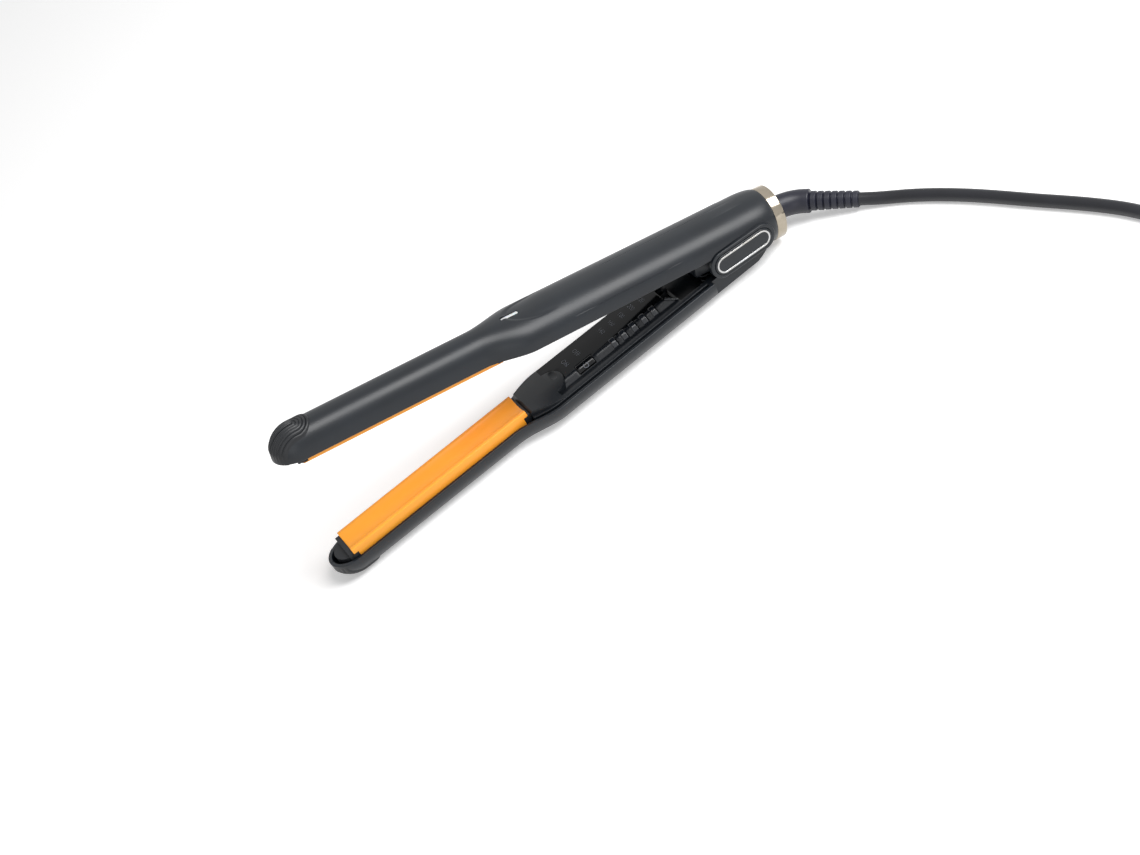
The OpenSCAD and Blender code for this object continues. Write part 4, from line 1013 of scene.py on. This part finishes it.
def makeCover(s):
    c = controls
    base = upright("base", coverPlan(c["front"], c["end"], c["inset"]), c["base"], c["flange"])
    groove = boxOutline(c["panelFront"] + 1, s["grooveRear"], s["grooveY"], c["ridgeY"])
    carve(base, [upright("groove", groove, s["grooveZ"]), upright("rear", c["rearEnd"]),
                 buttonHole(buttonSetup)])
    x = np.array([c["end"] - 1, s["railEnd"]])
    outline = np.concatenate([np.stack([x, np.full_like(x, s["grooveY"])], -1),
                              np.stack([x, c["inset"] - armHalf(x)], -1)[::-1]])
    rail = upright("rail", outline, c["base"] + s["railLow"], c["flange"] + s["railTop"])
    outline = boxOutline(c["panelFront"] - c["lap"], s["underRear"], c["ridgeY"] + s["underNear"],
                         s["underFar"])
    under = upright("under", outline, c["base"] + s["underLow"], c["top"] - c["panelT"] - s["underGap"])
    carve(under, [upright("rear", c["rearEnd"]), buttonHole(buttonSetup)])
    foot = upright("foot", coverPlan(c["front"] + s["footFront"], c["end"], s["footInset"]),
                   s["foot"], c["base"] + s["footLap"])
    wall = s["footWall"]
    carve(foot, [upright("hollow", coverPlan(c["front"] + wall, c["end"] - wall, c["inset"] + wall))])
    parts = [bevelled(base, s["edge"]), bevelled(rail, s["edge"]), finishMesh(under), finishMesh(foot),
             makeCoverFront(coverFront)]
    cover = dress(joinMeshes("control_cover", parts), coverAbs)
    return finished(cover, "lower_arm", "cover", "inner_cover")


windowSetup = dict(count=5, x=168.9, pitch=6.1, w=3.1, start=15.2, nearGap=0.1, height=0.45, deep=0.7,
                   square=7)
panelSetup = dict(stations=24, gap=0.08, edge=0.12, satinFrom=0.2, windowIn=0.1, windowOut=0.3, windowNear=-9,
                  lipX=(201.1, 206.4), lipLength=(17.2, 21.4), lipLift=0.1, lipR=0.6, lipSteps=14)


def makePanel(s):
    # a sheet of even thickness along the section, satin on its near side and glossy on top
    c = controls
    x = np.linspace(c["panelFront"] - c["lap"], c["end"], s["stations"])[:, None]
    length = panelCurve()[3]
    loops = np.concatenate([onPanel(x, length[None, :], 0), onPanel(x, length[None, ::-1], -c["panelT"])], 1)
    panel = makeSurface("control_gloss_panel", lowerPlace(loops))
    cutters = [upright("shape", tongueOutline(s["gap"])), upright("rear", c["rearEnd"]),
               buttonHole(buttonSetup)]
    w = windowSetup
    for i in range(w["count"]):
        x0 = w["x"] + i * w["pitch"]
        edge = x0 + w["w"] / 2
        groove = boxOutline(edge - s["windowIn"], edge + s["windowOut"], s["windowNear"],
                            onPanel(x0, w["start"], 0)[1])
        cutters.append(upright("groove", groove))
    bevelled(dress(carve(panel, cutters), glossPanel, satinPanel), s["edge"], 2)
    ridge = (c["ridgeY"] + s["satinFrom"]) / 1000
    for face in panel.data.polygons:
        face.material_index = int(face.center.y < ridge)
    finished(panel, "lower_arm", "panel", "control_panel")
    # a lip along the oblique rear end
    path = onPanel(np.linspace(*s["lipX"], s["lipSteps"]), np.linspace(*s["lipLength"], s["lipSteps"]),
                   s["lipLift"])
    lip = makeSurface("panel_lip", lowerPlace(tubeAlong(path, s["lipR"], s["lipSteps"])), smokeWindow)
    finished(lip, "lower_arm", "panel")


barShape = dict(rows=40, cols=21, easeL=0.7, easeStart=0.02, least=0.0004, sideShare=0.2)


def ribOnPanel(x, halfW, start, end, height, farDeep, nearDeep, square, lowest=-np.inf):
    # A bar laid across the panel: rows follow the section, columns cross the bar. It stands over the panel by
    # height (1 - |u|^square)^(1/2), eased to nothing at both ends, and is closed by a foot under the surface
    s = barShape
    length = np.linspace(start, end, s["rows"])
    u = np.sin(np.linspace(-math.pi / 2, math.pi / 2, s["cols"]))
    rise = smooth((length - start + s["easeStart"]) / s["easeL"])
    fall = smooth((end - length + s["easeStart"]) / s["easeL"])
    ease = np.sqrt(np.clip(rise * fall, s["least"], 1))
    sides = -farDeep * s["sideShare"]
    across = np.sqrt(np.clip(1 - np.abs(u) ** square, 0, 1))
    lift = sides + (height - sides) * across[None, :] * ease[:, None]
    upper = onPanel((x + halfW * u)[None, :], length[:, None], lift)
    under = -farDeep + (farDeep - nearDeep) * (length - start) / (end - start)
    foot = np.stack([onPanel(x + halfW, length, under), onPanel(x - halfW, length, under)], 1)
    foot[..., 2] = np.maximum(foot[..., 2], lowest)
    return lowerPlace(np.concatenate([upper, foot], 1))


def makeWindows(s):
    end = panelCurve()[3, -1] - s["nearGap"]
    bars = [makeSurface("bar", ribOnPanel(s["x"] + i * s["pitch"], s["w"] / 2, s["start"], end, s["height"],
                                          s["deep"], s["deep"], s["square"])) for i in range(s["count"])]
    windows = dress(joinMeshes("level_windows", bars), smokeWindow)
    return finished(windows, "lower_arm", "window", "heat_windows")


# power sign: its ring's ends in degrees, its radii, and its bar from the middle
signSetup = dict(ends=(125, 415), radii=(1.0, 1.35), steps=60, barHalf=0.17, bar=(0.4, 1.7), nearer=0.6,
                 lift=0.015)


def makeButton(s, sign):
    end = buttonEnd(s)
    key = makeSurface("power_key", ribOnPanel(s["x"], s["l"] / 2, s["start"], end, s["height"], s["farDeep"],
                                              s["nearDeep"], s["square"], s["footZ"] - s["clear"]))
    finished(dress(key, buttonAbs), "power_button", "button", "power_button")
    # the usual sign for power: an open ring and a bar through its gap, printed on the key's slope
    t = np.radians(np.linspace(*sign["ends"], sign["steps"]))
    middle, lift = (s["start"] + end) / 2 + sign["nearer"], s["height"] + sign["lift"]
    ring = np.stack([onPanel(s["x"] + r * np.cos(t), middle - r * np.sin(t), lift) for r in sign["radii"]])
    across, down = np.meshgrid([-sign["barHalf"], sign["barHalf"]], sign["bar"])
    stroke = onPanel(s["x"] + across, middle - down, lift)
    parts = [makeObject("ring", lowerPlace(ring), gridFaces(2, len(t)), inkGrey),
             makeObject("bar", lowerPlace(stroke), gridFaces(2, 2), inkGrey)]
    return finished(joinMeshes("power_sign", parts), "power_button", "button")


markSetup = dict(numbers=("140", "160", "180", "200", "220"), size=2.3, capShare=0.7, bolder=0.03, lift=0.02,
                 numberY=6.4, words=(("ON", 145.3, 4.4), ("OFF", 152.8, 5.4)))


def printedText(words, x, y, s):
    # the word's own plane is bent onto the panel: its run goes across the arm, its height along it
    curve = bpy.data.curves.new("words", "FONT")
    curve.body = words
    curve.size = s["size"] / s["capShare"]
    curve.align_x, curve.align_y = "CENTER", "CENTER"
    curve.offset = s["bolder"]
    flat = bpy.data.objects.new("words", curve)
    bpy.context.scene.collection.objects.link(flat)
    bpy.context.view_layer.update()
    mesh = bpy.data.meshes.new_from_object(flat)
    bpy.data.objects.remove(flat)
    p = np.empty(len(mesh.vertices) * 3)
    mesh.vertices.foreach_get("co", p)
    p = p.reshape(-1, 3)
    far = panelCurve()[0, 0]
    placed = lowerPlace(onPanel(x + p[:, 1], far - y + p[:, 0], s["lift"]))
    mesh.vertices.foreach_set("co", placed.ravel())
    mesh.update()
    made = bpy.data.objects.new("words", mesh)
    bpy.context.scene.collection.objects.link(made)
    return made


def makeMarks(s, w):
    numbers = [(n, w["x"] + i * w["pitch"], s["numberY"]) for i, n in enumerate(s["numbers"])]
    words = [printedText(text, x, y, s) for text, x, y in numbers + list(s["words"])]
    return finished(dress(joinMeshes("printed_marks", words), inkGrey), "lower_arm", "panel")


makeCover(coverSetup)
makePanel(panelSetup)
makeWindows(windowSetup)
makeButton(buttonSetup, signSetup)
makeMarks(markSetup, windowSetup)
print("controls made")
coilSpring = dict(x=226, base=-11.05, height=11.8, radius=3, wire=0.45, turns=6, steps=24, sides=12)


def makeOpeningSpring(s):
    # a helix with its wire swept along it
    t = np.linspace(0, s["turns"], s["steps"] * s["turns"] + 1)
    a = 2 * math.pi * t
    rise = s["base"] + s["height"] * smooth(t / s["turns"])
    line = np.stack([s["x"] + s["radius"] * np.cos(a), s["radius"] * np.sin(a), rise], -1)
    grid = lowerPlace(tubeAlong(line, s["wire"], s["sides"]))
    spring = makeSurface("arm_opening_spring", grid, springSteel)
    finished(spring, "lower_arm", "spring_steel", "opening_spring")
    tuple(lowerPlace([s["x"], 0, s["base"] - s["wire"]]))
    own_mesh(spring)


makeOpeningSpring(coilSpring)
stageSetup = dict(size=6, glow=0.35, worldLight=0.25, roughness=0.9, specular=0.1, fleck=900.0)
lamps = dict(overhead=dict(place=(0.52, -0.45, 0.98), aim=(0, -0.02, 0.04), width=1.0, depth=0.7, power=19),
             fill=dict(place=(-0.7, -1.3, 0.5), aim=(-0.05, 0, 0), width=0.9, depth=0.9, power=3))


def seenRays(tree):
    # 1 for what the camera sees, straight or by way of a glossy or clear surface, and 0 for other light
    rays = addNode(tree, "ShaderNodeLightPath").outputs
    seen = rays["Is Camera Ray"]
    for kind in ("Is Glossy Ray", "Is Transmission Ray"):
        seen = addNode(tree, "ShaderNodeMath", {}, {0: seen, 1: rays[kind]}, operation="MAXIMUM").outputs[0]
    return seen


def makeStage(s):
    # matt white paper with a faint fleck, which glows a little where it is seen
    h = s["size"] / 2
    floor = makeObject("floor", [[-h, -h, 0], [h, -h, 0], [h, h, 0], [-h, h, 0]], [[0, 1, 2, 3]])
    material, tree, shader, coords = newMaterial(
        "matt white paper", {"Roughness": s["roughness"], "Specular IOR Level": s["specular"]})
    tone = addNode(tree, "ShaderNodeTexNoise", {"Scale": s["fleck"], "Detail": 2.0}, {"Vector": coords})
    white = colourRamp(tree, tone.outputs["Fac"], [(noise["low"], "f1f1f1"), (noise["high"], "f6f6f6")])
    tree.links.new(white, shader.inputs["Base Color"])
    share = addNode(tree, "ShaderNodeMath", {1: s["glow"]}, {0: seenRays(tree)}, operation="MULTIPLY")
    glow = addNode(tree, "ShaderNodeEmission", {"Color": (1, 1, 1, 1)}, {"Strength": share.outputs[0]})
    both = addNode(tree, "ShaderNodeAddShader", links={0: shader.outputs[0], 1: glow.outputs[0]})
    tree.links.new(both.outputs[0], tree.nodes["Material Output"].inputs["Surface"])
    dress(floor, material)

    # the world is white where it is seen, and faint as a light
    world = bpy.data.worlds.new("studio")
    world.use_nodes = True
    bpy.context.scene.world = world
    tree = world.node_tree
    strength = addNode(tree, "ShaderNodeMapRange", {"To Min": s["worldLight"], "To Max": 1.0},
                       {"Value": seenRays(tree)})
    tree.nodes["Background"].inputs["Color"].default_value = (1, 1, 1, 1)
    tree.links.new(strength.outputs["Result"], tree.nodes["Background"].inputs["Strength"])


def makeLamp(name, s):
    data = bpy.data.lights.new(name, "AREA")
    data.shape = "RECTANGLE"
    data.size, data.size_y = s["width"], s["depth"]
    data.energy = s["power"]
    lamp = bpy.data.objects.new(name, data)
    bpy.context.scene.collection.objects.link(lamp)
    back = np.array(s["place"]) - np.array(s["aim"])
    back = back / np.linalg.norm(back)
    right = np.cross([0, 1, 0], back)
    right /= np.linalg.norm(right)
    m = np.eye(4)
    m[:3, 0], m[:3, 1], m[:3, 2], m[:3, 3] = right, np.cross(back, right), back, s["place"]
    lamp.matrix_world = Matrix(m.tolist())


for lampName, lampSetup in lamps.items():
    makeLamp(lampName, lampSetup)
makeStage(stageSetup)
bpy.context.scene.view_settings.view_transform = "Standard"
